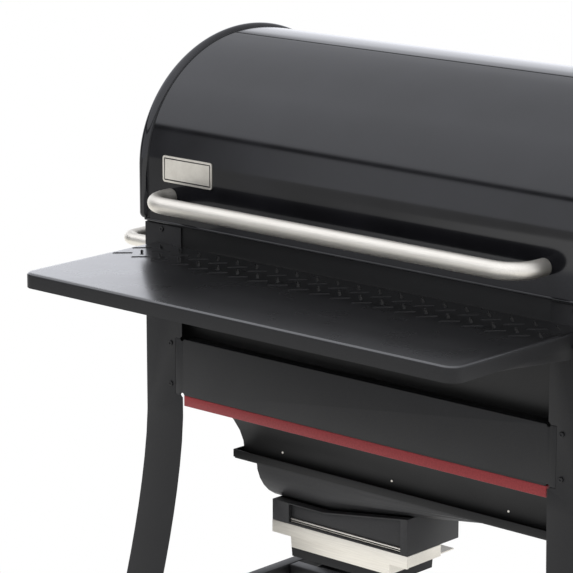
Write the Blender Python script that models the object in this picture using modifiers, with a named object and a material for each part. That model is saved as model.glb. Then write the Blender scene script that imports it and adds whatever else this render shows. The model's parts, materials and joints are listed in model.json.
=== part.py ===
"""Pellet smoker grill: a barrel lid on a cookbox, a legged cart on casters, a folding front shelf,
an ash drawer and a grease pan under the funnel, and a pellet hopper with its auger and fan.

Cart frame while modelling: x = 0 on the cart's middle, y = 0 on the front face of the legs with +Y to
the back, z = 0 on the floor. The root empty then puts the origin at the middle of the whole base.
"""

import math

import bmesh
import bpy
from mathutils import Matrix, Vector

MM = 0.001

# Sheet metal and fits
SHEET = 2 * MM
GAP = 0.3 * MM
RUN_CLEARANCE = 0.4 * MM
PIVOT_CLEARANCE = 2 * MM
EDGE = 1 * MM

# Cart
CART_WIDTH = 965 * MM
CART_DEPTH = 520 * MM
LEG_FACE = 86 * MM
LEG_SIDE = 60 * MM
LEG_FOOT = 98 * MM
LEG_BELOW_BOX = 2 * MM
LEG_SPLAY = 50 * MM
LEG_SPLAY_START = 540 * MM
LEG_ROWS = 10
SPLAY_POWER = 1.5
FOOT_PLATE = 6 * MM
APRON_BOTTOM = 580 * MM
APRON_HEIGHT = 101 * MM
APRON_OVERLAP = 16 * MM
APRON_FLANGE = 22 * MM
RELIEF_RADIUS = 4 * MM
TRIM_HEIGHT = 19 * MM
TRIM_INSET = 3 * MM
RAIL_Z = 122 * MM
RAIL_HEIGHT = 26 * MM
CROSS_RAIL_FROM_REAR = 130 * MM

# Casters
WHEEL_RADIUS = 38 * MM
WHEEL_WIDTH = 24 * MM
TREAD_SHOULDER = 4 * MM
CASTER_TRAIL = 24 * MM
AXLE_RADIUS = 5 * MM
STEM_RADIUS = 6 * MM
STEM_LENGTH = 22 * MM
SWIVEL_RADIUS = 22 * MM
SWIVEL_THICK = 6 * MM
FORK_WALL = 3 * MM
FORK_HALF_DEPTH = 11 * MM
CROWN_THICK = 5 * MM
LEVER_LENGTH = 34 * MM
LEVER_THICK = 4 * MM

# Cookbox and funnel
BOX_TOP = 880 * MM
BOX_TAPER_START = 750 * MM
BOX_RIM = 18 * MM
FLANGE_Z = 458 * MM
FLANGE_FROM_SIDE = 142.5 * MM
FLANGE_FRONT = 98 * MM
FLANGE_LIP = 12 * MM
FLANGE_HEM = 12 * MM
COLLAR = 8 * MM
BOX_KNEE_Z = 545 * MM
BOX_KNEE_OUT = 24 * MM
BOX_FLARE_STEPS = 4
BOWL_TO_LEFT = 313 * MM
BOWL_TO_RIGHT = 205 * MM
BOWL_INSET = 2 * MM
BOWL_TUCK = 31 * MM
BOWL_BREAK = -158 * MM
BOWL_FALL = 0.148
BOWL_PAST_ASH = 8 * MM
FUNNEL_STEPS = 6
LEDGE_DEPTH = 10 * MM
LEDGE_THICK = 4 * MM
GRATE_DROP = 48 * MM
BAFFLE_RAISE = 6 * MM
GRATE_THICK = 10 * MM
GRATE_SLOTS = 15
GRATE_BAR = 10 * MM
GRATE_END_BAR = 16 * MM
BAFFLE_COUNT = 4
BAFFLE_WIDTH = 120 * MM
BAFFLE_RISE = 34 * MM
POT_RADIUS = 55 * MM
POT_WALL = 4 * MM
POT_BELOW_AUGER = 36 * MM
POT_HEIGHT = 92 * MM
POT_BEHIND_MIDDLE = 30 * MM
IGNITER_RADIUS = 5 * MM
IGNITER_LENGTH = 90 * MM
IGNITER_RISE = 13 * MM

# Ash drawer box and grease pan
ASH_X = -125 * MM
ASH_HALF_WIDTH = 154 * MM
ASH_FRONT = 104 * MM
ASH_DEPTH = 139 * MM
ASH_BOTTOM = 354 * MM
ASH_HEIGHT = 38 * MM
ASH_WALL = 2.5 * MM
ASH_FRAME_LEFT = 38 * MM
ASH_FRAME_RIGHT = 16 * MM
ASH_FRAME_DEPTH = 17 * MM
NECK_INSET = 24 * MM
NECK_WIDTH = 210 * MM
NECK_DROP = 10 * MM
DRAWER_RECESS = 8 * MM
DRAWER_WALL = 16 * MM
LIP_HEIGHT = 7 * MM
LIP_DEPTH = 3.5 * MM
PAN_FASCIA = 22 * MM
PAN_HALF_WIDTH = 111 * MM
PAN_DEPTH = 118 * MM
PAN_HEIGHT = 40 * MM
PAN_SHEET = 2 * MM
PAN_FLANGE_DROP = 17 * MM
RUNNER_FOOT = 18 * MM
RUNNER_DEPTH = 86 * MM

# Lid
LID_ABOVE_BOX = 4 * MM
LID_STRAIGHT = 91 * MM
LID_RISE = 215 * MM
LID_PAST_LEGS = 4 * MM
LID_FROM_SIDE = 4.5 * MM
LID_SHEET = 1.5 * MM
LID_STEPS = 24
LID_END_THICK = 13 * MM
LID_RIM = 2 * MM
LID_RIM_WIDTH = 15 * MM
LID_HINGE_BEHIND = 21 * MM
HINGE_PIN_RADIUS = 5 * MM
HINGE_LUG_RADIUS = 10 * MM
HINGE_EAR_RADIUS = 9 * MM
HINGE_EYE_RADIUS = 10 * MM
HINGE_EAR_THICK = 7 * MM
HINGE_BASE = 34 * MM
HANDLE_RADIUS = 14.5 * MM
HANDLE_WIDTH = 800 * MM
HANDLE_OFF_MIDDLE = -15 * MM
HANDLE_RAISE = 47 * MM
HANDLE_REACH = 66 * MM
HANDLE_BEND = 48 * MM
PLATE_WIDTH = 116 * MM
PLATE_HEIGHT = 46 * MM
PLATE_X = -374 * MM
PLATE_RAISE = 95 * MM
PLATE_THICK = 2.5 * MM

# Folding shelf
SHELF_TOP = 845 * MM
SHELF_FROM_SIDE = 22.5 * MM
SHELF_DEPTH = 311 * MM
SHELF_REAR_GAP = 4 * MM
SHELF_SHEET = 2.5 * MM
SHELF_EDGE = 25 * MM
SHELF_CORNER = 24 * MM
SHELF_PIVOT_REACH = 26 * MM
SHELF_PIVOT_DROP = 23 * MM
SHELF_LUG_RADIUS = 21 * MM
SHELF_EAR_REACH = 210 * MM
SHELF_PIN_RADIUS = 4 * MM
BRACKET_WIDTH = 36 * MM
BRACKET_HEIGHT = 28 * MM
BRACKET_REACH = 38 * MM
SLOT_LENGTH = 32 * MM
SLOT_WIDTH = 4 * MM
SLOT_ANGLE = 45
SLOT_ROWS = 4
SLOT_FROM_SIDE = 40 * MM
SLOT_SIDE_CLEARANCE = 19 * MM
SLOT_PITCH = 44.7 * MM
SLOT_ROW_SHIFT = 24 * MM
SLOT_ROW_PITCH = 25.5 * MM
SLOT_REAR_INSET = 20 * MM

# Side handle and side table
SIDE_HANDLE_RADIUS = 11 * MM
SIDE_HANDLE_REACH = 84 * MM
SIDE_HANDLE_INSET = 30 * MM
SIDE_HANDLE_Z = 832 * MM
SIDE_HANDLE_BEND = 28 * MM
TABLE_WIDTH = 300 * MM
TABLE_INSET = 2 * MM
TABLE_TOP = 845 * MM
TABLE_EDGE = 32 * MM
CASE_WIDTH = 250 * MM
CASE_DEPTH = 46 * MM
CASE_HEIGHT = 96 * MM
CASE_CORNER = 4 * MM
DISPLAY_WIDTH = 92 * MM
DISPLAY_HEIGHT = 44 * MM
DISPLAY_THICK = 2 * MM
DISPLAY_OFF_MIDDLE = -60 * MM
KNOB_RADIUS = 24 * MM
KNOB_HEIGHT = 20 * MM
KNOB_TOP_SHARE = 0.82
KNOB_OFF_MIDDLE = 30 * MM
BUTTON_RADIUS = 8 * MM
BUTTON_PROUD = 4 * MM
BUTTON_DEPTH = 9 * MM
BUTTON_TRAVEL = 3 * MM
BUTTON_OFF_MIDDLE = 90 * MM

# Pellet feed
HOPPER_HALF_WIDTH = 260 * MM
HOPPER_DEPTH = 180 * MM
HOPPER_TOP = 836 * MM
HOPPER_SLOPE_Z = 640 * MM
MOUTH_HALF_WIDTH = 34 * MM
MOUTH_DEPTH = 70 * MM
MOUTH_FROM_MOTOR = 6 * MM
HOPPER_LID_THICK = 6 * MM
PULL_WIDTH = 120 * MM
PULL_HEIGHT = 12 * MM
AUGER_Z = 532 * MM
AUGER_RADIUS = 19 * MM
AUGER_SHAFT = 6 * MM
AUGER_PITCH = 50 * MM
AUGER_FLIGHT = 7 * MM
AUGER_HUB_SIDES = 6
AUGER_STEPS_PER_TURN = 12
TUBE_RADIUS = 25 * MM
TUBE_WALL = 3 * MM
MOTOR_SIZE = 56 * MM
MOTOR_LENGTH = 60 * MM
FAN_RADIUS = 44 * MM
FAN_LENGTH = 42 * MM
FAN_WALL = 2.5 * MM
FAN_FROM_REAR = 20 * MM
FAN_BLADES = 9
FAN_PIN_RADIUS = 3 * MM
FAN_FILL = 0.7
BLADE_START = 0.55

# Worked-out places
HALF_WIDTH = CART_WIDTH / 2
LEG_INNER = HALF_WIDTH - LEG_FACE
LEG_TOP = BOX_TOP - LEG_BELOW_BOX
APRON_TOP = APRON_BOTTOM + APRON_HEIGHT
APRON_HALF_WIDTH = LEG_INNER + APRON_OVERLAP
BOX_HALF_WIDTH = HALF_WIDTH - SHEET - GAP
BOX_FRONT = SHEET + GAP
BOX_REAR = CART_DEPTH - SHEET - GAP
FLANGE_HALF_WIDTH = HALF_WIDTH - FLANGE_FROM_SIDE
FLANGE_REAR = CART_DEPTH - FLANGE_FRONT
GRATE_LEDGE_Z = BOX_TOP - GRATE_DROP
BAFFLE_LEDGE_Z = BOX_TAPER_START + BAFFLE_RAISE
POT_BOTTOM = AUGER_Z - POT_BELOW_AUGER
POT_Y = CART_DEPTH / 2 + POT_BEHIND_MIDDLE
ASH_REAR = ASH_FRONT + ASH_DEPTH
ASH_TOP = ASH_BOTTOM + ASH_HEIGHT
LID_BOTTOM = BOX_TOP + LID_ABOVE_BOX
LID_HALF_DEPTH = CART_DEPTH / 2 + LID_PAST_LEGS
LID_HALF_WIDTH = HALF_WIDTH - LID_FROM_SIDE
LID_MIDDLE_Y = CART_DEPTH / 2
LID_FRONT = LID_MIDDLE_Y - LID_HALF_DEPTH
LID_HINGE_Y = CART_DEPTH + LID_HINGE_BEHIND
LID_HINGE_Z = LID_BOTTOM
LID_END_X = LID_HALF_WIDTH + GAP
HANDLE_Z = LID_BOTTOM + HANDLE_RAISE
PLATE_Z = LID_BOTTOM + PLATE_RAISE
SHELF_HALF_WIDTH = HALF_WIDTH - SHELF_FROM_SIDE
SHELF_REAR = -SHELF_REAR_GAP
SHELF_FRONT = SHELF_REAR - SHELF_DEPTH
SHELF_PIVOT_Y = -SHELF_PIVOT_REACH
SHELF_PIVOT_Z = SHELF_TOP - SHELF_PIVOT_DROP
SIDE_HANDLE_X = -HALF_WIDTH - SIDE_HANDLE_REACH
TABLE_X = HALF_WIDTH + GAP
HOPPER_FRONT = CART_DEPTH + GAP
HOPPER_REAR = HOPPER_FRONT + HOPPER_DEPTH
TUBE_FRONT = POT_Y + POT_RADIUS + GAP
TUBE_REAR = HOPPER_REAR - MOTOR_LENGTH
MOUTH_MIDDLE_Y = TUBE_REAR - MOUTH_DEPTH / 2 - MOUTH_FROM_MOTOR
FAN_Y = CART_DEPTH - FAN_FROM_REAR
SPAN_LEFT = min(SIDE_HANDLE_X - SIDE_HANDLE_RADIUS, -HALF_WIDTH - LEG_SPLAY)
SPAN_RIGHT = TABLE_X + TABLE_WIDTH
SPAN_REAR = HOPPER_REAR

# Scene set-up
for old in list(bpy.data.objects):
    bpy.data.objects.remove(old, do_unlink=True)
PARTS = bpy.data.collections.new("pellet_smoker_grill")
CUTTERS = bpy.data.collections.new("cutters")
bpy.context.scene.collection.children.link(PARTS)
bpy.context.scene.collection.children.link(CUTTERS)
ROOT = bpy.data.objects.new("cart_origin", None)
ROOT.location = (-(SPAN_LEFT + SPAN_RIGHT) / 2, -(SHELF_FRONT + SPAN_REAR) / 2, 0)
PARTS.objects.link(ROOT)
PIVOT_SPOTS = {}


def finish(name, colour, roughness, metallic=0.0):
    """A Principled material with the colour, roughness and metallic value of one of the grill's finishes."""
    made = bpy.data.materials.new(name)
    made.use_nodes = True
    shader = made.node_tree.nodes["Principled BSDF"]
    shader.inputs["Base Color"].default_value = (*colour, 1)
    shader.inputs["Roughness"].default_value = roughness
    shader.inputs["Metallic"].default_value = metallic
    return made


ENAMEL = finish("black_enamel", (0.012, 0.012, 0.014), 0.12)
PAINT = finish("black_powder_coat", (0.034, 0.035, 0.037), 0.45)
RED = finish("red_paint", (0.27, 0.042, 0.046), 0.45)
STAINLESS = finish("brushed_stainless", (0.62, 0.61, 0.58), 0.3, 1.0)
IRON = finish("cast_iron", (0.03, 0.03, 0.03), 0.7, 0.2)
PLASTIC = finish("black_plastic", (0.02, 0.02, 0.02), 0.5)
GLASS = finish("display_glass", (0.01, 0.012, 0.015), 0.05)
RUBBER = finish("grey_rubber", (0.05, 0.05, 0.05), 0.8)


def pivot(name, spot, parent=None):
    """An empty on a joint's axis, which the pieces of a moving group hang on."""
    made = bpy.data.objects.new(name, None)
    made.parent = parent or ROOT
    made.location = Vector(spot) - PIVOT_SPOTS.get(made.parent.name, Vector())
    PIVOT_SPOTS[name] = Vector(spot)
    PARTS.objects.link(made)
    return made


def place(obj, material, parent=None):
    """Puts a piece among the parts with its finish, under the cart or under a moving group's empty."""
    PARTS.objects.link(obj)
    obj.data.materials.clear()
    obj.data.materials.append(material)
    obj.parent = parent or ROOT
    obj.location = -PIVOT_SPOTS.get(obj.parent.name, Vector())
    return obj


def object_from(name, made):
    """A named object from a bmesh, with its faces pointing out."""
    bmesh.ops.recalc_face_normals(made, faces=made.faces)
    mesh = bpy.data.meshes.new(name)
    made.to_mesh(mesh)
    made.free()
    return bpy.data.objects.new(name, mesh)


def box(name, low, high):
    """A block between two corners."""
    made = bmesh.new()
    low, high = Vector(low), Vector(high)
    size = Matrix.Diagonal((*(high - low), 1))
    bmesh.ops.create_cube(made, size=1, matrix=Matrix.Translation((low + high) / 2) @ size)
    return object_from(name, made)


def mirrored_box(name, side, low, high):
    """A block given for the right side, set on that side or its mirror image on the left."""
    xs = sorted((side * low[0], side * high[0]))
    return box(name, (xs[0], *low[1:]), (xs[1], *high[1:]))


def rod(name, start, end, radius, sides=20):
    """A round bar between two points."""
    start, end = Vector(start), Vector(end)
    along = end - start
    turn = along.to_track_quat("Z", "Y").to_matrix().to_4x4()
    made = bmesh.new()
    bmesh.ops.create_cone(made, cap_ends=True, segments=sides, radius1=radius, radius2=radius,
                          depth=along.length, matrix=Matrix.Translation((start + end) / 2) @ turn)
    return smooth(object_from(name, made))


def mesh_of_curve(name, curve, matrix=None):
    """The closed mesh of a bevelled or filled curve, with its caps welded on."""
    guide = bpy.data.objects.new(name + "_curve", curve)
    bpy.context.scene.collection.objects.link(guide)
    mesh = bpy.data.meshes.new_from_object(guide.evaluated_get(bpy.context.evaluated_depsgraph_get()))
    bpy.data.objects.remove(guide, do_unlink=True)
    made = bmesh.new()
    made.from_mesh(mesh)
    bmesh.ops.remove_doubles(made, verts=made.verts, dist=1e-6)
    bmesh.ops.transform(made, matrix=matrix or Matrix.Identity(4), verts=made.verts)
    return object_from(name, made)


# Columns that send an outline's two directions and its thickness to the cart's axes
OUTLINE_TURNS = {
    "X": Matrix(((0, 0, 1), (1, 0, 0), (0, 1, 0))),
    "Y": Matrix(((1, 0, 0), (0, 0, -1), (0, 1, 0))),
    "Z": Matrix.Identity(3),
}


def plate(name, outline, low, high, axis="X"):
    """A flat outline given thickness along an axis: its points are (y, z), (x, z) or (x, y)."""
    curve = bpy.data.curves.new(name, "CURVE")
    curve.dimensions = "2D"
    curve.fill_mode = "BOTH"
    curve.extrude = (high - low) / 2
    spline = curve.splines.new("POLY")
    spline.points.add(len(outline) - 1)
    for knot, (u, v) in zip(spline.points, outline):
        knot.co = (u, v, 0, 1)
    spline.use_cyclic_u = True
    middle = {"X": (1, 0, 0), "Y": (0, 1, 0), "Z": (0, 0, 1)}[axis]
    shift = Matrix.Translation(Vector(middle) * (low + high) / 2)
    return mesh_of_curve(name, curve, shift @ OUTLINE_TURNS[axis].to_4x4())


def tube(name, points, radius, sides=4):
    """A bent tube or bar along points."""
    curve = bpy.data.curves.new(name, "CURVE")
    curve.dimensions = "3D"
    curve.bevel_depth = radius
    curve.bevel_resolution = sides
    curve.use_fill_caps = True
    spline = curve.splines.new("POLY")
    spline.points.add(len(points) - 1)
    for knot, point in zip(spline.points, points):
        knot.co = (*point, 1)
    return smooth(mesh_of_curve(name, curve))


def bent(corners, radius, steps=6):
    """Points along straight runs between corners, with each inner corner rounded by a quarter circle."""
    corners = [Vector(corner) for corner in corners]
    points = [corners[0]]
    for before, here, after in zip(corners, corners[1:], corners[2:]):
        into, out = (here - before).normalized(), (after - here).normalized()
        centre = here + (out - into) * radius
        for i in range(steps + 1):
            angle = math.pi / 2 * i / steps
            points.append(centre - out * radius * math.cos(angle) + into * radius * math.sin(angle))
    return points + [corners[-1]]


def arc(centre, radius, start, end, steps=8):
    """Points on an arc, with its angles in degrees."""
    angles = [math.radians(start + (end - start) * i / steps) for i in range(steps + 1)]
    return [(centre[0] + radius * math.cos(a), centre[1] + radius * math.sin(a)) for a in angles]


def sheet(name, rows, thickness, faces_to, closed=False, floor=False):
    """Bent sheet through rows of points, thickened away from the side that its first face points to.

    A closed row joins its ends, and floor fills the last row.
    """
    made = bmesh.new()
    grid = [[made.verts.new(point) for point in row] for row in rows]
    for lower, upper in zip(grid, grid[1:]):
        count = len(lower)
        for i in range(count if closed else count - 1):
            j = (i + 1) % count
            made.faces.new([lower[i], lower[j], upper[j], upper[i]])
    if floor:
        made.faces.new(grid[-1])
    obj = object_from(name, made)
    if obj.data.polygons[0].normal.dot(Vector(faces_to)) < 0:
        obj.data.flip_normals()
    wall = obj.modifiers.new("sheet", "SOLIDIFY")
    wall.thickness = thickness
    wall.offset = -1
    wall.solidify_mode = "NON_MANIFOLD"
    wall.nonmanifold_thickness_mode = "CONSTRAINTS"
    return obj


def turned(name, profile, centre, axis="X", steps=24):
    """A turned piece: (radius, along) points, down the outer side first, spun about an axis."""
    made = bmesh.new()
    knots = [made.verts.new((radius, 0, along)) for radius, along in profile]
    for pair in zip(knots, knots[1:] + knots[:1]):
        made.edges.new(pair)
    mesh = bpy.data.meshes.new(name)
    made.to_mesh(mesh)
    made.free()
    obj = bpy.data.objects.new(name, mesh)
    spun = obj.modifiers.new("turn", "SCREW")
    spun.steps = steps
    spun.render_steps = steps
    spun.use_merge_vertices = True
    spun.merge_threshold = 1e-5
    spun.use_normal_calculate = True
    bpy.context.scene.collection.objects.link(obj)
    solid = bpy.data.meshes.new_from_object(obj.evaluated_get(bpy.context.evaluated_depsgraph_get()))
    bpy.data.objects.remove(obj, do_unlink=True)
    made = bmesh.new()
    made.from_mesh(solid)
    bmesh.ops.remove_doubles(made, verts=made.verts, dist=1e-6)
    turn = {"X": Matrix.Rotation(math.pi / 2, 4, "Y"), "Y": Matrix.Rotation(-math.pi / 2, 4, "X"),
            "Z": Matrix.Identity(4)}[axis]
    bmesh.ops.transform(made, matrix=Matrix.Translation(centre) @ turn, verts=made.verts)
    return smooth(object_from(name, made))


def boolean(obj, other, operation="DIFFERENCE"):
    """Cuts away or joins on another shape, which stays as a hidden helper."""
    CUTTERS.objects.link(other)
    other.parent = ROOT
    other.hide_render = True
    other.display_type = "WIRE"
    made = obj.modifiers.new(other.name, "BOOLEAN")
    made.operation = operation
    made.object = other
    return obj


def join(obj, other):
    return boolean(obj, other, "UNION")


def gathered(name, objects):
    """One helper mesh of several shapes that don't touch, for one cut or join."""
    made = bmesh.new()
    for obj in objects:
        made.from_mesh(obj.data)
        bpy.data.objects.remove(obj, do_unlink=True)
    return object_from(name, made)


def bevel(obj, width, segments=2):
    edge = obj.modifiers.new("edge", "BEVEL")
    edge.width = width
    edge.segments = segments
    edge.limit_method = "ANGLE"
    return obj


def smooth(obj, angle=40):
    obj.data.shade_smooth()
    obj.data.set_sharp_from_angle(angle=math.radians(angle))
    return obj


def ring(half_width, front, rear, z, middle=0.0):
    """The four corners of a rectangle at one height, from its front left corner."""
    left, right = middle - half_width, middle + half_width
    return [(left, front, z), (right, front, z), (right, rear, z), (left, rear, z)]


# Cart
def splay(z):
    """How far a leg stands out of square at a height: none above, curving out to the foot."""
    drop = max(0.0, LEG_SPLAY_START - z) / (LEG_SPLAY_START - LEG_FOOT)
    return LEG_SPLAY * drop**SPLAY_POWER


def leg_face(end):
    """Where the front or rear legs' outer face stands in depth; end is -1 front or 1 rear."""
    return 0 if end < 0 else CART_DEPTH


def foot_centre(side, end):
    """Where a leg's caster stem stands, in plan; side is -1 left or 1 right."""
    reach = splay(LEG_FOOT)
    return side * (HALF_WIDTH + reach - LEG_FACE / 2), leg_face(end) + end * (reach - LEG_SIDE / 2)


def relief(name, side, end, z):
    """The round cutter that relieves the corner between a leg and an apron."""
    x, y = side * LEG_INNER, leg_face(end)
    return rod(name, (x, y - 2 * SHEET, z), (x, y + 2 * SHEET, z), RELIEF_RADIUS, 12)


def leg(corner, side, end):
    """An angle-section leg of bent sheet with a notch for the apron and a foot plate for the caster."""
    name = "leg_" + corner
    face = leg_face(end)
    steps = [LEG_SPLAY_START + (LEG_FOOT - LEG_SPLAY_START) * i / LEG_ROWS for i in range(LEG_ROWS + 1)]
    rows = []
    for z in [LEG_TOP] + steps:
        x, y = side * (HALF_WIDTH + splay(z)), face + end * splay(z)
        rows.append([(x - side * LEG_FACE, y, z), (x, y, z), (x, y - end * LEG_SIDE, z)])
    made = sheet(name, rows, SHEET, (0, end, 0))
    notch = mirrored_box(name + "_notch", side, (LEG_INNER - SHEET, face - 2 * SHEET, APRON_BOTTOM - GAP),
                         (APRON_HALF_WIDTH + GAP, face + 2 * SHEET, APRON_TOP + GAP))
    boolean(made, notch)
    for level, z in (("low", APRON_BOTTOM), ("high", APRON_TOP)):
        boolean(made, relief(f"{name}_relief_{level}", side, end, z))
    reach = splay(LEG_FOOT)
    ys = sorted((face + end * (reach - SHEET / 2), face + end * (reach - LEG_SIDE + SHEET)))
    join(made, mirrored_box(name + "_foot", side, (HALF_WIDTH + reach - LEG_FACE + SHEET, ys[0], LEG_FOOT),
                            (HALF_WIDTH + reach - SHEET / 2, ys[1], LEG_FOOT + FOOT_PLATE)))
    stem_x, stem_y = foot_centre(side, end)
    boolean(made, rod(name + "_stem_hole", (stem_x, stem_y, LEG_FOOT - FOOT_PLATE),
                      (stem_x, stem_y, LEG_FOOT + 2 * FOOT_PLATE), STEM_RADIUS + RUN_CLEARANCE, 16))
    return place(made, PAINT)


def apron(name, end):
    """A panel between two legs, with flanges turned in along its top and bottom."""
    face = leg_face(end)
    inner, deep = face - end * SHEET, face - end * APRON_FLANGE
    ys = sorted((face, inner))
    made = box(name, (-APRON_HALF_WIDTH, ys[0], APRON_BOTTOM), (APRON_HALF_WIDTH, ys[1], APRON_TOP))
    run = LEG_INNER - RELIEF_RADIUS - SHEET
    ys = sorted((face - end * SHEET / 2, deep))
    for level, z in (("low", APRON_BOTTOM), ("high", APRON_TOP - SHEET)):
        join(made, box(f"{name}_flange_{level}", (-run, ys[0], z), (run, ys[1], z + SHEET)))
    for label, side in (("left", -1), ("right", 1)):
        for level, z in (("low", APRON_BOTTOM), ("high", APRON_TOP)):
            boolean(made, relief(f"{name}_relief_{label}_{level}", side, end, z))
    return place(made, PAINT)


def lower_rail(label, side):
    """A rail from the front leg to the rear leg, inside the legs' side faces."""
    top = RAIL_Z + RAIL_HEIGHT
    outer = HALF_WIDTH + splay(top) - SHEET - 2 * GAP
    front = SHEET + 2 * GAP - splay(top)
    return place(bevel(mirrored_box("lower_rail_" + label, side, (outer - RAIL_HEIGHT, front, RAIL_Z),
                                    (outer, CART_DEPTH - front, top)), 2 * EDGE), PAINT)


CORNERS = {"front_left": (-1, -1), "front_right": (1, -1), "rear_left": (-1, 1), "rear_right": (1, 1)}
SIDES = {"left": -1, "right": 1}
for corner, (side, end) in CORNERS.items():
    leg(corner, side, end)
apron("front_apron", -1)
apron("rear_apron", 1)
trim_half = LEG_INNER - TRIM_INSET
place(bevel(box("red_trim_strip", (-trim_half, SHEET / 2, APRON_BOTTOM - GAP - TRIM_HEIGHT),
                (trim_half, APRON_FLANGE, APRON_BOTTOM - GAP)), EDGE), RED)
for label, side in SIDES.items():
    lower_rail(label, side)
cross_half = HALF_WIDTH + splay(RAIL_Z + RAIL_HEIGHT) - SHEET - 3 * GAP - RAIL_HEIGHT
cross_y = CART_DEPTH - CROSS_RAIL_FROM_REAR
place(bevel(box("lower_cross_rail", (-cross_half, cross_y, RAIL_Z),
                (cross_half, cross_y + RAIL_HEIGHT, RAIL_Z + RAIL_HEIGHT)), 2 * EDGE), PAINT)


# Casters
def caster(corner, side, end):
    """A swivelling fork under a leg and the wheel in it; the front ones have a brake lever."""
    x, y = foot_centre(side, end)
    swivel = pivot(f"caster_{corner}_swivel", (x, y, LEG_FOOT))
    plate_top = LEG_FOOT - GAP
    plate_low = plate_top - SWIVEL_THICK
    half_gap = WHEEL_WIDTH / 2 + RUN_CLEARANCE
    axle_y = y + CASTER_TRAIL
    name = "caster_fork_" + corner
    fork = rod(name, (x, y, plate_low), (x, y, plate_top), SWIVEL_RADIUS)
    join(fork, rod(name + "_stem", (x, y, plate_top - SWIVEL_THICK / 2),
                   (x, y, plate_top + STEM_LENGTH), STEM_RADIUS, 16))
    half = half_gap + FORK_WALL
    crown_rear = axle_y + FORK_HALF_DEPTH
    join(fork, box(name + "_crown", (x - half, y - FORK_HALF_DEPTH, plate_low - CROWN_THICK),
                   (x + half, crown_rear, plate_low + SWIVEL_THICK / 2)))
    for label, cheek in SIDES.items():
        xs = sorted((x + cheek * half_gap, x + cheek * half))
        cheek_top = plate_low - CROWN_THICK / 2
        outline = [(y - FORK_HALF_DEPTH, cheek_top), (crown_rear, cheek_top)]
        outline += arc((axle_y, WHEEL_RADIUS), FORK_HALF_DEPTH, 0, -180)
        join(fork, plate(f"{name}_cheek_{label}", outline, *xs))
    join(fork, rod(name + "_axle", (x - half_gap - FORK_WALL / 2, axle_y, WHEEL_RADIUS),
                   (x + half_gap + FORK_WALL / 2, axle_y, WHEEL_RADIUS), AXLE_RADIUS, 16))
    place(fork, PAINT, swivel)
    wide, bore = WHEEL_WIDTH / 2, AXLE_RADIUS + RUN_CLEARANCE
    shoulder = WHEEL_RADIUS - TREAD_SHOULDER
    profile = [(bore, wide), (shoulder, wide), (WHEEL_RADIUS, wide / 2),
               (WHEEL_RADIUS, -wide / 2), (shoulder, -wide), (bore, -wide)]
    axle = pivot(f"caster_{corner}_axle", (x, axle_y, WHEEL_RADIUS), swivel)
    place(turned("caster_wheel_" + corner, profile, (x, axle_y, WHEEL_RADIUS)), RUBBER, axle)
    if end < 0:
        lever_y, lever_z = crown_rear + GAP, plate_low - CROWN_THICK / 2
        lever = pivot(f"caster_{corner}_lever", (x, lever_y, lever_z), swivel)
        pedal = box("brake_lever_" + corner, (x - half_gap, lever_y, lever_z - LEVER_THICK / 2),
                    (x + half_gap, lever_y + LEVER_LENGTH, lever_z + LEVER_THICK / 2))
        place(bevel(pedal, EDGE), PLASTIC, lever)


for corner, (side, end) in CORNERS.items():
    caster(corner, side, end)


# Cookbox
def flange_ring(out, z):
    """The four corners of the opening that the cookbox and the funnel share, or a ring outside it."""
    return ring(FLANGE_HALF_WIDTH + out, FLANGE_FRONT - out, FLANGE_REAR + out, z)


flange_top = FLANGE_Z + GAP + SHEET
collar_top = flange_top + COLLAR
box_rows = [
    ring(BOX_HALF_WIDTH - BOX_RIM, BOX_FRONT + BOX_RIM, BOX_REAR - BOX_RIM, BOX_TOP),
    ring(BOX_HALF_WIDTH, BOX_FRONT, BOX_REAR, BOX_TOP),
    ring(BOX_HALF_WIDTH, BOX_FRONT, BOX_REAR, BOX_TAPER_START),
]
for i in range(BOX_FLARE_STEPS, -1, -1):
    flare = i / BOX_FLARE_STEPS
    box_rows.append(flange_ring(BOX_KNEE_OUT * flare ** 2, collar_top + (BOX_KNEE_Z - collar_top) * flare))
box_rows += [
    flange_ring(0, flange_top),
    flange_ring(FLANGE_LIP, flange_top),
    flange_ring(FLANGE_LIP, flange_top + FLANGE_HEM),
]
cookbox = sheet("cookbox", box_rows, SHEET, (0, 0, 1), closed=True)
inner_half = BOX_HALF_WIDTH - SHEET
for label, z in (("grate", GRATE_LEDGE_Z), ("baffle", BAFFLE_LEDGE_Z)):
    for level, wall, out in (("front", BOX_FRONT, 1), ("rear", BOX_REAR, -1)):
        ys = sorted((wall + out * SHEET / 2, wall + out * (SHEET + LEDGE_DEPTH)))
        join(cookbox, box(f"{label}_ledge_{level}", (-inner_half + SHEET, ys[0], z),
                          (inner_half - SHEET, ys[1], z + LEDGE_THICK)))
boolean(cookbox, rod("auger_hole", (0, FLANGE_REAR - BOX_KNEE_OUT, AUGER_Z), (0, CART_DEPTH, AUGER_Z),
                     TUBE_RADIUS + GAP, 24))
place(cookbox, ENAMEL)


def grate(label, side):
    """A cast grate that fills one half of the cookbox and lies on the front and rear ledges."""
    low_x, high_x = GAP, inner_half - GAP
    front, rear = BOX_FRONT + SHEET + GAP, BOX_REAR - SHEET - GAP
    base = GRATE_LEDGE_Z + LEDGE_THICK + GAP
    made = mirrored_box("cooking_grate_" + label, side, (low_x, front, base),
                        (high_x, rear, base + GRATE_THICK))
    pitch = (high_x - low_x - GRATE_BAR) / GRATE_SLOTS
    slots = []
    for i in range(GRATE_SLOTS):
        start = low_x + GRATE_BAR + i * pitch
        slots.append(mirrored_box("slot", side, (start, front + GRATE_END_BAR, base - GRATE_THICK),
                                  (start + pitch - GRATE_BAR, rear - GRATE_END_BAR, base + 2 * GRATE_THICK)))
    boolean(made, gathered(f"grate_slots_{label}", slots))
    place(made, IRON)


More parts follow.
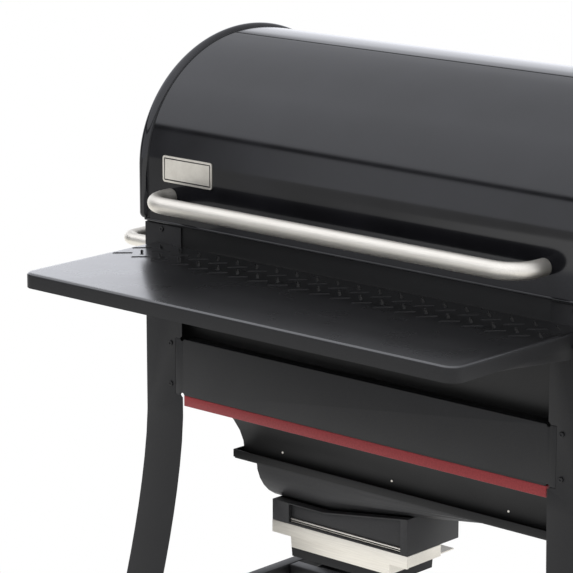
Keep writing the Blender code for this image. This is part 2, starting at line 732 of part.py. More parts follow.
def baffle(index):
    """An upturned V bar from the front ledge to the rear ledge, over the fire."""
    pitch = 2 * inner_half / BAFFLE_COUNT
    x = -inner_half + pitch * (index + 0.5)
    base = BAFFLE_LEDGE_Z + LEDGE_THICK + GAP
    half = BAFFLE_WIDTH / 2
    outline = [(x - half, base), (x - half + 2 * SHEET, base), (x, base + BAFFLE_RISE - 2 * SHEET),
               (x + half - 2 * SHEET, base), (x + half, base), (x, base + BAFFLE_RISE)]
    front, rear = BOX_FRONT + SHEET + GAP, BOX_REAR - SHEET - GAP
    place(plate(f"heat_baffle_{index + 1}", outline, front, rear, "Y"), PAINT)


for label, side in SIDES.items():
    grate(label, side)
for index in range(BAFFLE_COUNT):
    baffle(index)

# Fire pot
pot_inner = POT_RADIUS - POT_WALL
pot_profile = [(0, POT_WALL), (pot_inner, POT_WALL), (pot_inner, POT_HEIGHT), (POT_RADIUS, POT_HEIGHT),
               (POT_RADIUS, 0), (0, 0)]
pot = turned("burn_pot", pot_profile, (0, POT_Y, POT_BOTTOM), "Z", 28)
boolean(pot, rod("pot_inlet", (0, POT_Y, AUGER_Z), (0, POT_Y + 2 * POT_RADIUS, AUGER_Z),
                 AUGER_RADIUS + RUN_CLEARANCE))
igniter_z = POT_BOTTOM + POT_WALL + IGNITER_RISE
igniter_start = POT_Y - POT_RADIUS - IGNITER_LENGTH / 2
igniter_end = igniter_start + IGNITER_LENGTH
boolean(pot, rod("igniter_hole", (0, POT_Y - 2 * POT_RADIUS, igniter_z), (0, POT_Y, igniter_z),
                 IGNITER_RADIUS + GAP, 16))
place(pot, IRON)
igniter = rod("igniter_rod", (0, igniter_start, igniter_z), (0, igniter_end, igniter_z), IGNITER_RADIUS, 16)
place(igniter, STAINLESS)

# Funnel
ash_left, ash_right = ASH_X - ASH_HALF_WIDTH, ASH_X + ASH_HALF_WIDTH
neck_left, neck_right = ash_left + NECK_INSET, ash_left + NECK_INSET + NECK_WIDTH
neck_front, neck_rear = ASH_FRONT + ASH_FRAME_DEPTH + NECK_INSET, ASH_REAR - NECK_INSET
funnel_top = FLANGE_Z - SHEET
bowl_front, bowl_rear = FLANGE_FRONT + BOWL_INSET, FLANGE_REAR - BOWL_INSET
rear_tuck = bowl_rear - ASH_REAR + BOWL_PAST_ASH


def ash_top(x):
    """The height of the ash box's top, which lies flat on the left and rises with the bowl's floor."""
    return ASH_TOP + BOWL_FALL * max(0, x - BOWL_BREAK)


def bowl_row(left, right, front, rear, height):
    """Six points round a rectangle: its corners and the places where the bowl's floor begins to rise."""
    along = (left, BOWL_BREAK, right)
    return [(x, front, height(x)) for x in along] + [(x, rear, height(x)) for x in reversed(along)]


def bowl_wall(step):
    """One row of the bowl's wall, which starts upright and curves in to the floor."""
    turn = math.pi / 2 * step / FUNNEL_STEPS
    tuck, down = 1 - math.cos(turn), math.sin(turn)
    return bowl_row(BOWL_TUCK * tuck - BOWL_TO_LEFT, BOWL_TO_RIGHT - BOWL_TUCK * tuck,
                    bowl_front + BOWL_TUCK * tuck, bowl_rear - rear_tuck * tuck,
                    lambda x: funnel_top + (ash_top(x) + GAP - funnel_top) * down)


lip = FLANGE_HALF_WIDTH + FLANGE_LIP
neck = (neck_left, neck_right, neck_front, neck_rear)
funnel_rows = [bowl_row(-lip, lip, FLANGE_FRONT - FLANGE_LIP, FLANGE_REAR + FLANGE_LIP, lambda x: funnel_top)]
funnel_rows += [bowl_wall(step) for step in range(FUNNEL_STEPS + 1)]
funnel_rows += [bowl_row(*neck, lambda x: ash_top(x) + GAP), bowl_row(*neck, lambda x: ASH_TOP - NECK_DROP)]
place(sheet("funnel", funnel_rows, SHEET, (0, 0, -1), closed=True), ENAMEL)


# Ash drawer and its box
def sloped_plate(name, left, right, low, drop, front, rear):
    """A plate that stands across the cart, with its top a set drop below the ash box's top."""
    outline = [(left, low), (right, low), (right, ash_top(right) - drop), (BOWL_BREAK, ASH_TOP - drop),
               (left, ASH_TOP - drop)]
    return plate(name, outline, front, rear, "Y")


housing = sloped_plate("drawer_housing", ash_left, ash_right, ASH_BOTTOM, 0, ASH_FRONT, ASH_REAR)
floor_top = ASH_BOTTOM + ASH_WALL
frame_rear = ASH_FRONT + ASH_FRAME_DEPTH
boolean(housing, box("housing_hollow", (ash_left + ASH_WALL, frame_rear, floor_top),
                     (ash_right - ASH_WALL, ASH_REAR - ASH_WALL, ash_top(ash_right) + SHEET)))
mouth_left, mouth_right = ash_left + ASH_FRAME_LEFT, ash_right - ASH_FRAME_RIGHT
boolean(housing, sloped_plate("housing_mouth", mouth_left, mouth_right, floor_top, ASH_WALL,
                              ASH_FRONT - SHEET, frame_rear + SHEET))
place(housing, PAINT)

drawer_slide = pivot("ash_drawer_slide", (ASH_X, ASH_FRONT, ASH_BOTTOM))
panel_front = ASH_FRONT + DRAWER_RECESS
drawer_left, drawer_right = mouth_left + RUN_CLEARANCE, mouth_right - RUN_CLEARANCE
drawer_low, drawer_rear = floor_top + GAP, ASH_REAR - ASH_WALL - RUN_CLEARANCE
drawer = sloped_plate("ash_drawer", drawer_left, drawer_right, drawer_low, ASH_WALL + RUN_CLEARANCE,
                      panel_front, panel_front + ASH_WALL)
join(drawer, box("drawer_body", (drawer_left, panel_front + ASH_WALL / 2, drawer_low),
                 (drawer_right, drawer_rear, drawer_low + DRAWER_WALL)))
boolean(drawer, box("drawer_hollow", (drawer_left + ASH_WALL, panel_front + ASH_WALL, drawer_low + ASH_WALL),
                    (drawer_right - ASH_WALL, drawer_rear - ASH_WALL, drawer_low + 2 * DRAWER_WALL)))
place(drawer, PAINT, drawer_slide)
lip_front = panel_front - GAP - LIP_DEPTH
lip = box("drawer_lip", (drawer_left, lip_front, drawer_low),
          (drawer_right, panel_front - GAP, drawer_low + LIP_HEIGHT))
place(bevel(lip, EDGE), STAINLESS, drawer_slide)

# Grease pan
pan_slide = pivot("grease_pan_slide", (ASH_X, ASH_FRONT, ASH_BOTTOM))
pan_top = ASH_BOTTOM - PAN_FLANGE_DROP
pan_front = ASH_FRONT + PAN_SHEET + GAP
pan_rear = pan_front + PAN_DEPTH
flange_half = ASH_HALF_WIDTH - SHEET - RUN_CLEARANCE
pan = sheet("grease_pan", [
    ring(flange_half, pan_front, pan_rear + RUNNER_FOOT / 2, pan_top, ASH_X),
    ring(PAN_HALF_WIDTH, pan_front + PAN_SHEET, pan_rear, pan_top, ASH_X),
    ring(PAN_HALF_WIDTH - PAN_SHEET, pan_front + 2 * PAN_SHEET, pan_rear - PAN_SHEET,
         pan_top - PAN_HEIGHT, ASH_X),
], PAN_SHEET, (0, 0, 1), closed=True, floor=True)
fascia_top = ASH_BOTTOM - GAP
join(pan, box("pan_fascia", (ash_left, ASH_FRONT, fascia_top - PAN_FASCIA),
              (ash_right, pan_front + PAN_SHEET, fascia_top)))
place(pan, STAINLESS, pan_slide)
for label, side in SIDES.items():
    runner_front = pan_front + PAN_SHEET + RUN_CLEARANCE
    runner_rear = runner_front + RUNNER_DEPTH
    outer, inner = ASH_HALF_WIDTH, ASH_HALF_WIDTH - SHEET
    foot_top = pan_top - PAN_SHEET - GAP
    web = sorted((ASH_X + side * inner, ASH_X + side * outer))
    foot = sorted((ASH_X + side * (outer - RUNNER_FOOT), ASH_X + side * (outer - SHEET / 2)))
    runner = box("pan_runner_" + label, (web[0], runner_front, foot_top - SHEET),
                 (web[1], runner_rear, fascia_top))
    join(runner, box(f"runner_foot_{label}", (foot[0], runner_front, foot_top - SHEET),
                     (foot[1], runner_rear, foot_top)))
    place(runner, STAINLESS)


# Lid
def lid_outline(offset, base):
    """The barrel's side outline from its front lower edge over the top to its rear lower edge."""
    waist = LID_BOTTOM + LID_STRAIGHT
    wide, high = LID_HALF_DEPTH + offset, LID_RISE + offset
    points = [(LID_MIDDLE_Y - wide, base)]
    for i in range(LID_STEPS + 1):
        angle = math.pi * i / LID_STEPS
        points.append((LID_MIDDLE_Y - wide * math.cos(angle), waist + high * math.sin(angle)))
    return points + [(LID_MIDDLE_Y + wide, base)]


lid_hinge = pivot("lid_hinge", (0, LID_HINGE_Y, LID_HINGE_Z))
skin_rows = [[(-LID_HALF_WIDTH, y, z), (LID_HALF_WIDTH, y, z)] for y, z in lid_outline(0, LID_BOTTOM)]
place(smooth(sheet("lid_skin", skin_rows, LID_SHEET, (0, -1, 0))), ENAMEL, lid_hinge)


def lid_end(label, side):
    """An end of the lid: a pressed plate with a raised rim, a hollow behind it and a hinge lug."""
    name = "lid_end_" + label
    near, far = LID_END_X, LID_END_X + LID_END_THICK
    made = plate(name, lid_outline(LID_RIM, LID_BOTTOM), *sorted((side * near, side * far)))
    axis = (LID_HINGE_Y, LID_HINGE_Z)
    ear = [(CART_DEPTH, LID_BOTTOM + GAP)]
    ear += arc(axis, HINGE_LUG_RADIUS, -120, 90)
    ear += [(CART_DEPTH, LID_BOTTOM + HINGE_LUG_RADIUS)]
    join(made, plate(name + "_ear", ear, *sorted((side * (near + GAP), side * (far + EDGE)))))
    hollow = sorted((side * (near - SHEET), side * (far - SHEET)))
    inside = lid_outline(LID_RIM - LID_RIM_WIDTH, LID_BOTTOM - SHEET)
    boolean(made, plate(name + "_hollow", inside, *hollow))
    boolean(made, rod(name + "_bore", (side * (near - SHEET), *axis), (side * (far + SHEET), *axis),
                      HINGE_PIN_RADIUS + RUN_CLEARANCE))
    place(made, ENAMEL, lid_hinge)


def hinge_bracket(label, side):
    """The fixed half of a lid hinge on a rear leg, with the pin that the lid's lug turns on."""
    name = "lid_hinge_bracket_" + label
    outer = LID_HALF_WIDTH - PIVOT_CLEARANCE / 2
    inner = outer - HINGE_EAR_THICK
    base_y = CART_DEPTH + GAP
    low = LEG_TOP - HINGE_BASE
    made = mirrored_box(name, side, (inner - HINGE_BASE / 2, base_y, low),
                        (outer, base_y + SHEET, LEG_TOP))
    join(made, mirrored_box(name + "_ear", side, (inner, base_y + SHEET / 2, low + HINGE_EAR_RADIUS),
                            (outer, LID_HINGE_Y + HINGE_EAR_RADIUS / 2, LEG_TOP)))
    axis = (LID_HINGE_Y, LID_HINGE_Z)
    join(made, rod(name + "_eye", (side * inner, *axis), (side * outer, *axis), HINGE_EYE_RADIUS))
    join(made, rod(name + "_pin", (side * (inner + SHEET), *axis),
                   (side * (LID_END_X + LID_END_THICK), *axis), HINGE_PIN_RADIUS))
    place(made, PAINT)


for label, side in SIDES.items():
    lid_end(label, side)
    hinge_bracket(label, side)
grip_y = LID_FRONT - HANDLE_REACH
grip_left, grip_right = HANDLE_OFF_MIDDLE - HANDLE_WIDTH / 2, HANDLE_OFF_MIDDLE + HANDLE_WIDTH / 2
grip_ends = [(grip_left, LID_FRONT - GAP, HANDLE_Z), (grip_left, grip_y, HANDLE_Z),
             (grip_right, grip_y, HANDLE_Z), (grip_right, LID_FRONT - GAP, HANDLE_Z)]
place(tube("lid_handle", bent(grip_ends, HANDLE_BEND), HANDLE_RADIUS), STAINLESS, lid_hinge)
plate_rear = LID_FRONT - GAP
badge = box("name_plate", (PLATE_X - PLATE_WIDTH / 2, plate_rear - PLATE_THICK, PLATE_Z - PLATE_HEIGHT / 2),
            (PLATE_X + PLATE_WIDTH / 2, plate_rear, PLATE_Z + PLATE_HEIGHT / 2))
place(bevel(badge, EDGE / 2), STAINLESS, lid_hinge)


# Folding shelf
def shelf_outline(inset):
    """The shelf from above, with its two front corners rounded."""
    wide, front = SHELF_HALF_WIDTH - inset, SHELF_FRONT + inset
    radius = SHELF_CORNER - inset
    left = arc((-wide + radius, front + radius), radius, 180, 270)
    right = arc((wide - radius, front + radius), radius, 270, 360)
    return left + right + [(wide, SHELF_REAR), (-wide, SHELF_REAR)]


shelf_fold = pivot("shelf_fold", (0, SHELF_PIVOT_Y, SHELF_PIVOT_Z))
shelf = plate("front_shelf", shelf_outline(0), SHELF_TOP - SHELF_EDGE, SHELF_TOP, "Z")
under = shelf_outline(SHELF_SHEET)
under[-2:] = [(SHELF_HALF_WIDTH - SHELF_SHEET, SHEET), (SHELF_SHEET - SHELF_HALF_WIDTH, SHEET)]
boolean(shelf, plate("shelf_hollow", under, SHELF_TOP - 2 * SHELF_EDGE, SHELF_TOP - SHELF_SHEET, "Z"))
lug = [(SHELF_PIVOT_Y - SHELF_EAR_REACH, SHELF_TOP - SHELF_EDGE + SHELF_SHEET)]
lug += arc((SHELF_PIVOT_Y, SHELF_PIVOT_Z), SHELF_LUG_RADIUS, -110, 0)
lug += [(SHELF_PIVOT_Y + SHELF_LUG_RADIUS, SHELF_TOP - SHELF_SHEET / 2),
        (SHELF_PIVOT_Y - SHELF_EAR_REACH, SHELF_TOP - SHELF_SHEET / 2)]
for label, side in SIDES.items():
    xs = sorted((side * SHELF_HALF_WIDTH, side * (SHELF_HALF_WIDTH - SHELF_SHEET)))
    join(shelf, plate("shelf_ear_" + label, lug, *xs))
    axis = (SHELF_PIVOT_Y, SHELF_PIVOT_Z)
    boolean(shelf, rod("shelf_pin_hole_" + label, (side * (SHELF_HALF_WIDTH - 2 * SHEET), *axis),
                       (side * (SHELF_HALF_WIDTH + SHEET), *axis), SHELF_PIN_RADIUS + RUN_CLEARANCE, 16))
slots = []
for row in range(SLOT_ROWS):
    reach = SLOT_FROM_SIDE - SLOT_SIDE_CLEARANCE + row * SLOT_ROW_SHIFT
    start = -SHELF_HALF_WIDTH + SLOT_SIDE_CLEARANCE + reach % SLOT_PITCH
    angle = math.radians(SLOT_ANGLE if row % 2 else -SLOT_ANGLE)
    y = SHELF_REAR - SLOT_REAR_INSET - row * SLOT_ROW_PITCH
    for column in range(1 + int((SHELF_HALF_WIDTH - SLOT_SIDE_CLEARANCE - start) / SLOT_PITCH)):
        slot = box("slot", (-SLOT_LENGTH / 2, -SLOT_WIDTH / 2, SHELF_TOP - 2 * SHELF_SHEET),
                   (SLOT_LENGTH / 2, SLOT_WIDTH / 2, SHELF_TOP + SHELF_SHEET))
        x = start + column * SLOT_PITCH
        slot.data.transform(Matrix.Translation((x, y, 0)) @ Matrix.Rotation(angle, 4, "Z"))
        slots.append(slot)
boolean(shelf, gathered("shelf_slots", slots))
place(shelf, PAINT, shelf_fold)


def shelf_bracket(label, side):
    """The bracket on a front leg that carries the shelf, with the pin that the shelf folds on."""
    name = "shelf_bracket_" + label
    outer = SHELF_HALF_WIDTH - SHELF_SHEET - PIVOT_CLEARANCE
    inner = outer - SHEET
    low, high = SHELF_PIVOT_Z - BRACKET_HEIGHT / 2, SHELF_PIVOT_Z + BRACKET_HEIGHT / 2
    made = mirrored_box(name, side, (outer - BRACKET_WIDTH, -GAP - SHEET, low - BRACKET_HEIGHT / 2),
                        (outer - EDGE / 2, -GAP, high - EDGE))
    join(made, mirrored_box(name + "_ear", side, (inner, -BRACKET_REACH, low),
                            (outer, -GAP - SHEET / 2, high)))
    axis = (SHELF_PIVOT_Y, SHELF_PIVOT_Z)
    join(made, rod(name + "_pin", (side * (inner + SHEET / 2), *axis),
                   (side * (SHELF_HALF_WIDTH + EDGE), *axis), SHELF_PIN_RADIUS, 16))
    place(made, PAINT)


for label, side in SIDES.items():
    shelf_bracket(label, side)

# Side handle and side table
grip_start, grip_end = LEG_SIDE - SIDE_HANDLE_INSET, CART_DEPTH - LEG_SIDE + SIDE_HANDLE_INSET
grip_ends = [(-HALF_WIDTH - GAP, grip_start, SIDE_HANDLE_Z), (SIDE_HANDLE_X, grip_start, SIDE_HANDLE_Z),
             (SIDE_HANDLE_X, grip_end, SIDE_HANDLE_Z), (-HALF_WIDTH - GAP, grip_end, SIDE_HANDLE_Z)]
place(tube("side_handle", bent(grip_ends, SIDE_HANDLE_BEND), SIDE_HANDLE_RADIUS), STAINLESS)
table_front, table_rear = TABLE_INSET, CART_DEPTH - TABLE_INSET
table = box("side_table", (TABLE_X, table_front, TABLE_TOP - TABLE_EDGE), (SPAN_RIGHT, table_rear, TABLE_TOP))
bevel(table, SHEET)
boolean(table, box("table_hollow", (TABLE_X + SHEET, table_front + SHEET, TABLE_TOP - 2 * TABLE_EDGE),
                   (SPAN_RIGHT - SHEET, table_rear - SHEET, TABLE_TOP - SHEET)))
place(table, PAINT)
case_x = TABLE_X + TABLE_WIDTH / 2
case_rear = table_front - GAP
case_front, case_low = case_rear - CASE_DEPTH, TABLE_TOP - CASE_HEIGHT
case_z = TABLE_TOP - CASE_HEIGHT / 2
case = box("controller_case", (case_x - CASE_WIDTH / 2, case_front, case_low),
           (case_x + CASE_WIDTH / 2, case_rear, TABLE_TOP))
bevel(case, CASE_CORNER)
button_x = case_x + BUTTON_OFF_MIDDLE
bore_rear = case_front + BUTTON_DEPTH + BUTTON_TRAVEL + GAP
boolean(case, rod("button_bore", (button_x, case_front - SHEET, case_z), (button_x, bore_rear, case_z),
                  BUTTON_RADIUS + GAP))
place(case, PLASTIC)
display_x = case_x + DISPLAY_OFF_MIDDLE
window_rear = case_front - GAP
window_low = case_z - DISPLAY_HEIGHT / 2
window = box("display", (display_x - DISPLAY_WIDTH / 2, window_rear - DISPLAY_THICK, window_low),
             (display_x + DISPLAY_WIDTH / 2, window_rear, window_low + DISPLAY_HEIGHT))
place(bevel(window, EDGE / 2), GLASS)
knob_x = case_x + KNOB_OFF_MIDDLE
knob_turn = pivot("knob_turn", (knob_x, case_front, case_z))
skirt = KNOB_HEIGHT / 4
knob_profile = [(0, -GAP), (KNOB_RADIUS, -GAP), (KNOB_RADIUS, -GAP - skirt),
                (KNOB_RADIUS * KNOB_TOP_SHARE, -KNOB_HEIGHT), (0, -KNOB_HEIGHT)]
place(turned("control_knob", knob_profile, (knob_x, case_front, case_z), "Y", 28), STAINLESS, knob_turn)
button_press = pivot("button_press", (button_x, case_front, case_z))
button = rod("power_button", (button_x, case_front - BUTTON_PROUD, case_z),
             (button_x, case_front + BUTTON_DEPTH, case_z), BUTTON_RADIUS)
place(bevel(button, EDGE), STAINLESS, button_press)

# Pellet feed
mouth_front, mouth_rear = MOUTH_MIDDLE_Y - MOUTH_DEPTH / 2, MOUTH_MIDDLE_Y + MOUTH_DEPTH / 2
mouth_z = AUGER_Z + TUBE_RADIUS + GAP
place(sheet("pellet_hopper", [
    ring(HOPPER_HALF_WIDTH, HOPPER_FRONT, HOPPER_REAR, HOPPER_TOP),
    ring(HOPPER_HALF_WIDTH, HOPPER_FRONT, HOPPER_REAR, HOPPER_SLOPE_Z),
    ring(MOUTH_HALF_WIDTH, mouth_front, mouth_rear, mouth_z),
], SHEET, (0, -1, 0), closed=True), PAINT)
lid_slide = pivot("hopper_lid_slide", (0, HOPPER_REAR, HOPPER_TOP))
lid_low = HOPPER_TOP + GAP
lid_high = lid_low + HOPPER_LID_THICK
hopper_lid = bevel(box("hopper_lid", (-HOPPER_HALF_WIDTH, HOPPER_FRONT, lid_low),
                       (HOPPER_HALF_WIDTH, HOPPER_REAR, lid_high)), 2 * EDGE)
join(hopper_lid, box("hopper_lid_pull", (-PULL_WIDTH / 2, HOPPER_REAR - 4 * SHEET, lid_high - SHEET),
                     (PULL_WIDTH / 2, HOPPER_REAR - 2 * SHEET, lid_high + PULL_HEIGHT)))
place(hopper_lid, PAINT, lid_slide)

tube_bore = TUBE_RADIUS - TUBE_WALL
tube_profile = [(TUBE_RADIUS, TUBE_REAR), (TUBE_RADIUS, TUBE_FRONT),
                (tube_bore, TUBE_FRONT), (tube_bore, TUBE_REAR)]
feed_tube = turned("auger_tube", tube_profile, (0, 0, AUGER_Z), "Y")
slot_half = MOUTH_HALF_WIDTH / 2
boolean(feed_tube, box("feed_slot", (-slot_half, mouth_front + 2 * SHEET, AUGER_Z + TUBE_RADIUS / 2),
                       (slot_half, mouth_rear - 2 * SHEET, AUGER_Z + 2 * TUBE_RADIUS)))
place(feed_tube, STAINLESS)


def auger_screw(name, start, end):
    """A shaft and its helical flight as one twisted section: a hub with one broad tooth."""
    half_tooth = math.pi * AUGER_FLIGHT / AUGER_PITCH
    side_step = (math.tau - 2 * half_tooth) / AUGER_HUB_SIDES
    section = [(AUGER_RADIUS, -half_tooth), (AUGER_RADIUS, 0.0), (AUGER_RADIUS, half_tooth)]
    section += [(AUGER_SHAFT, half_tooth + side_step * i) for i in range(AUGER_HUB_SIDES + 1)]
    count = round((end - start) / AUGER_PITCH * AUGER_STEPS_PER_TURN)
    made = bmesh.new()
    rows = []
    for i in range(count + 1):
        y = start + (end - start) * i / count
        turn = math.tau * (y - start) / AUGER_PITCH
        row = [(r * math.cos(angle + turn), r * math.sin(angle + turn)) for r, angle in section]
        rows.append([made.verts.new((x, y, AUGER_Z + z)) for x, z in row])
    for lower, upper in zip(rows, rows[1:]):
        for i in range(len(section)):
            j = (i + 1) % len(section)
            made.faces.new([lower[i], lower[j], upper[j], upper[i]])
    made.faces.new(rows[0])
    made.faces.new(rows[-1])
    return smooth(object_from(name, made), 60)


auger_spin = pivot("auger_spin", (0, TUBE_REAR, AUGER_Z))
place(auger_screw("feed_auger", TUBE_FRONT + GAP, TUBE_REAR - GAP), STAINLESS, auger_spin)
place(bevel(box("auger_motor", (-MOTOR_SIZE / 2, TUBE_REAR + GAP, AUGER_Z - MOTOR_SIZE / 2),
                (MOTOR_SIZE / 2, HOPPER_REAR, AUGER_Z + MOTOR_SIZE / 2)), SHEET), PLASTIC)
fan_x = TUBE_RADIUS + GAP
fan_inner = FAN_RADIUS - FAN_WALL
fan_profile = [(0, 0), (FAN_RADIUS, 0), (FAN_RADIUS, FAN_LENGTH), (fan_inner, FAN_LENGTH),
               (fan_inner, FAN_WALL), (0, FAN_WALL)]
housing = turned("fan_housing", fan_profile, (fan_x, FAN_Y, AUGER_Z))
pin_end = fan_x + FAN_LENGTH * FAN_FILL
join(housing, rod("fan_pin", (fan_x + FAN_WALL / 2, FAN_Y, AUGER_Z), (pin_end, FAN_Y, AUGER_Z),
                  FAN_PIN_RADIUS, 12))
place(housing, PLASTIC)
fan_spin = pivot("fan_spin", (fan_x, FAN_Y, AUGER_Z))
disc_low = fan_x + FAN_WALL + PIVOT_CLEARANCE / 2
wheel_radius = fan_inner - PIVOT_CLEARANCE
bore = FAN_PIN_RADIUS + RUN_CLEARANCE
hub, hub_end = 3 * bore, FAN_LENGTH / 2
disc = [(bore, 0), (wheel_radius, 0), (wheel_radius, FAN_WALL), (hub, FAN_WALL),
        (hub, hub_end), (bore, hub_end)]
wheel = turned("fan_wheel", disc, (disc_low, FAN_Y, AUGER_Z))
blades = []
for i in range(FAN_BLADES):
    blade = box("blade", (disc_low + FAN_WALL / 2, -FAN_WALL / 2, wheel_radius * BLADE_START),
                (disc_low + FAN_LENGTH * FAN_FILL, FAN_WALL / 2, wheel_radius - FAN_WALL / 2))
    turn = Matrix.Rotation(math.tau * i / FAN_BLADES, 4, "X")
    blade.data.transform(Matrix.Translation((0, FAN_Y, AUGER_Z)) @ turn)
    blades.append(blade)
join(wheel, gathered("fan_blades", blades))
place(wheel, PLASTIC, fan_spin)
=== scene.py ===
# %% [markdown]
# # A pellet smoker grill, dressed for the studio
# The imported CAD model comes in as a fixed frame: every solid is already at its real size and
# place. This lesson makes the surfaces that the eye reads, such as smooth enamel, rounded
# sheet-metal edges, screws and brushed tube, and hangs each new piece on the CAD body that it
# moves with.

# %% Load the frame
import json
import math

import bpy
from mathutils import Matrix, Vector


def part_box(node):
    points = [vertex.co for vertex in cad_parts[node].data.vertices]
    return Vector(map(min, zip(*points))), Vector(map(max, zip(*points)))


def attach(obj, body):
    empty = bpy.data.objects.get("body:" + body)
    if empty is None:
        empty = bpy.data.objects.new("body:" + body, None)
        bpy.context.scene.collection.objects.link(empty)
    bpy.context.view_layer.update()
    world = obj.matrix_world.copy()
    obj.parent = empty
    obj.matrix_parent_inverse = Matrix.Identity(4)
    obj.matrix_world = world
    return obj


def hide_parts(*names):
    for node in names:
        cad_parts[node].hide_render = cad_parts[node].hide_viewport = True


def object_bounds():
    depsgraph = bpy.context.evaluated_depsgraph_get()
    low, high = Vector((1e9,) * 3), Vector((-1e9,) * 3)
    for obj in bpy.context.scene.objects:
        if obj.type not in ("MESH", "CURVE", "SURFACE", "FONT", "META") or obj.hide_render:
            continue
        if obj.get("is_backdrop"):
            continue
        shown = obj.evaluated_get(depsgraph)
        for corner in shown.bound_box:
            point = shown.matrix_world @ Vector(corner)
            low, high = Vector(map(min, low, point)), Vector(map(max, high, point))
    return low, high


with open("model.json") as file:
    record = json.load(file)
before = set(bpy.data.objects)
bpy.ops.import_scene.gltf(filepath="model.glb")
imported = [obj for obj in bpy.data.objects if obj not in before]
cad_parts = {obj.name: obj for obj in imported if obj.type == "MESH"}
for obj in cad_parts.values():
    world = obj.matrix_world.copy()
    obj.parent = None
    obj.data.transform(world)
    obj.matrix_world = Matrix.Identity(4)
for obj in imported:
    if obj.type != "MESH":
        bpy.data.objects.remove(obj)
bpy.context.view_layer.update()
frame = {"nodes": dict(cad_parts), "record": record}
BODIES = frame["record"]["behaviour"]["bodies"]
NODE_BODY = {node: body for body, nodes in BODIES.items() for node in nodes}
NODE_SLOT = {part["node"]: part["material_slot"] for part in frame["record"]["subparts"]}

# %% [markdown]
# ## Places
# All sizes below are millimetres in the cart's own frame, where x = 0 is the middle of the cart,
# y = 0 is the front face of the legs and z = 0 is the floor. One small function turns such a
# place into metres in the model's frame.

# %% Cart frame
MM = 0.001
CART_X, CART_Y = -0.10265, -0.19265
SIDES = {"left": -1, "right": 1}


def at(x, y, z):
    """A place in the cart's frame, in millimetres, as metres in the model's frame."""
    return Vector((CART_X + x * MM, CART_Y + y * MM, z * MM))


def arc(x, y, radius, start, turn, steps):
    """Pairs of numbers round a middle, from a start through a turn in degrees."""
    angles = [math.radians(start + turn * i / steps) for i in range(steps + 1)]
    return [(x + radius * math.cos(angle), y + radius * math.sin(angle)) for angle in angles]


# %% [markdown]
# ## Working by hand, in code
# Blender's operators act on whatever is selected, so every step begins by deselecting everything
# and then selecting one object, or the faces that a small test picks by their middle and their
# normal.

# %% Selecting
FACING = 0.9


def only(obj):
    """Selects one object and nothing else."""
    bpy.ops.object.select_all(action="DESELECT")
    obj.select_set(True)
    bpy.context.view_layer.objects.active = obj
    return obj


def every(middle, normal):
    """The test that every face passes."""
    return True


def pick(obj, test, kind="FACE"):
    """Goes into edit mode with only the faces, or edges, selected that pass a test.

    A face is tested by its middle and its normal, an edge by its two ends.
    """
    only(obj)
    bpy.ops.object.mode_set(mode="EDIT")
    bpy.ops.mesh.select_mode(type=kind)
    bpy.ops.mesh.select_all(action="DESELECT")
    bpy.ops.object.mode_set(mode="OBJECT")
    points = obj.data.vertices
    if kind == "FACE":
        for face in obj.data.polygons:
            face.select = test(face.center, face.normal)
    else:
        for edge in obj.data.edges:
            edge.select = test(*(points[i].co for i in edge.vertices))
    bpy.ops.object.mode_set(mode="EDIT")


def leave():
    """Goes back to object mode."""
    bpy.ops.object.mode_set(mode="OBJECT")


# %% [markdown]
# A maker's few moves do nearly all the shaping: push a face out, round the edges, fill an outline
# and give it thickness. Each is a short function, so that the pieces below read as a list of moves.

# %% Shaping
MERGE_GAP = 1e-6
SMOOTH_ANGLE = 30


def push(move):
    """Extrudes what is selected by a step in metres."""
    bpy.ops.mesh.extrude_region_move(TRANSFORM_OT_translate={"value": tuple(move)})


def smooth(angle=SMOOTH_ANGLE):
    """Shades the selected object smooth, except across edges sharper than an angle in degrees."""
    bpy.ops.object.shade_smooth_by_angle(angle=math.radians(angle))


def apply(obj, kind, **settings):
    """Adds a modifier with its settings and applies it."""
    only(obj)
    made = obj.modifiers.new(kind.lower(), kind)
    for setting, value in settings.items():
        setattr(made, setting, value)
    bpy.ops.object.modifier_apply(modifier=made.name)
    return obj


def rounded(obj, width, segments=2, angle=SMOOTH_ANGLE):
    """Rounds the sharp edges by a width in millimetres and shades the rest smooth."""
    apply(obj, "BEVEL", width=width * MM, segments=segments, limit_method="ANGLE",
          angle_limit=math.radians(angle))
    smooth(angle)
    return obj


def outwards(obj):
    """Merges doubled points and turns every face of a closed shape outwards."""
    only(obj)
    bpy.ops.object.mode_set(mode="EDIT")
    bpy.ops.mesh.select_all(action="SELECT")
    bpy.ops.mesh.remove_doubles(threshold=MERGE_GAP)
    bpy.ops.mesh.normals_make_consistent(inside=False)
    leave()
    return obj


def outline(points, fill=True):
    """A ring of points, dragged from a circle to their places in metres, filled or open."""
    bpy.ops.object.select_all(action="DESELECT")
    bpy.ops.mesh.primitive_circle_add(vertices=len(points), fill_type="NGON" if fill else "NOTHING")
    obj = bpy.context.active_object
    for corner, point in zip(obj.data.vertices, points):
        corner.co = point
    return obj


def slab(points, move):
    """A filled outline given thickness along a step in metres."""
    obj = outline(points)
    pick(obj, every)
    push(move)
    leave()
    return outwards(obj)


def pulled(section, start, run):
    """A section of (y, z) points at a start along X, pulled out by a run, in millimetres."""
    return slab([at(start, y, z) for y, z in section], (run * MM, 0, 0))


# %% Copying and joining
def joined(objects):
    """Several shapes as one object."""
    only(objects[0])
    for obj in objects:
        obj.select_set(True)
    bpy.ops.object.join()
    return bpy.context.active_object


def copied(obj, matrix):
    """A copy with a mesh of its own, moved or turned in its mesh."""
    twin = bpy.data.objects.new(obj.name, obj.data.copy())
    twin.data.transform(matrix)
    bpy.context.scene.collection.objects.link(twin)
    return twin


def discard(obj):
    """Throws away a shape that was only a tool or a pattern."""
    bpy.data.objects.remove(obj, do_unlink=True)


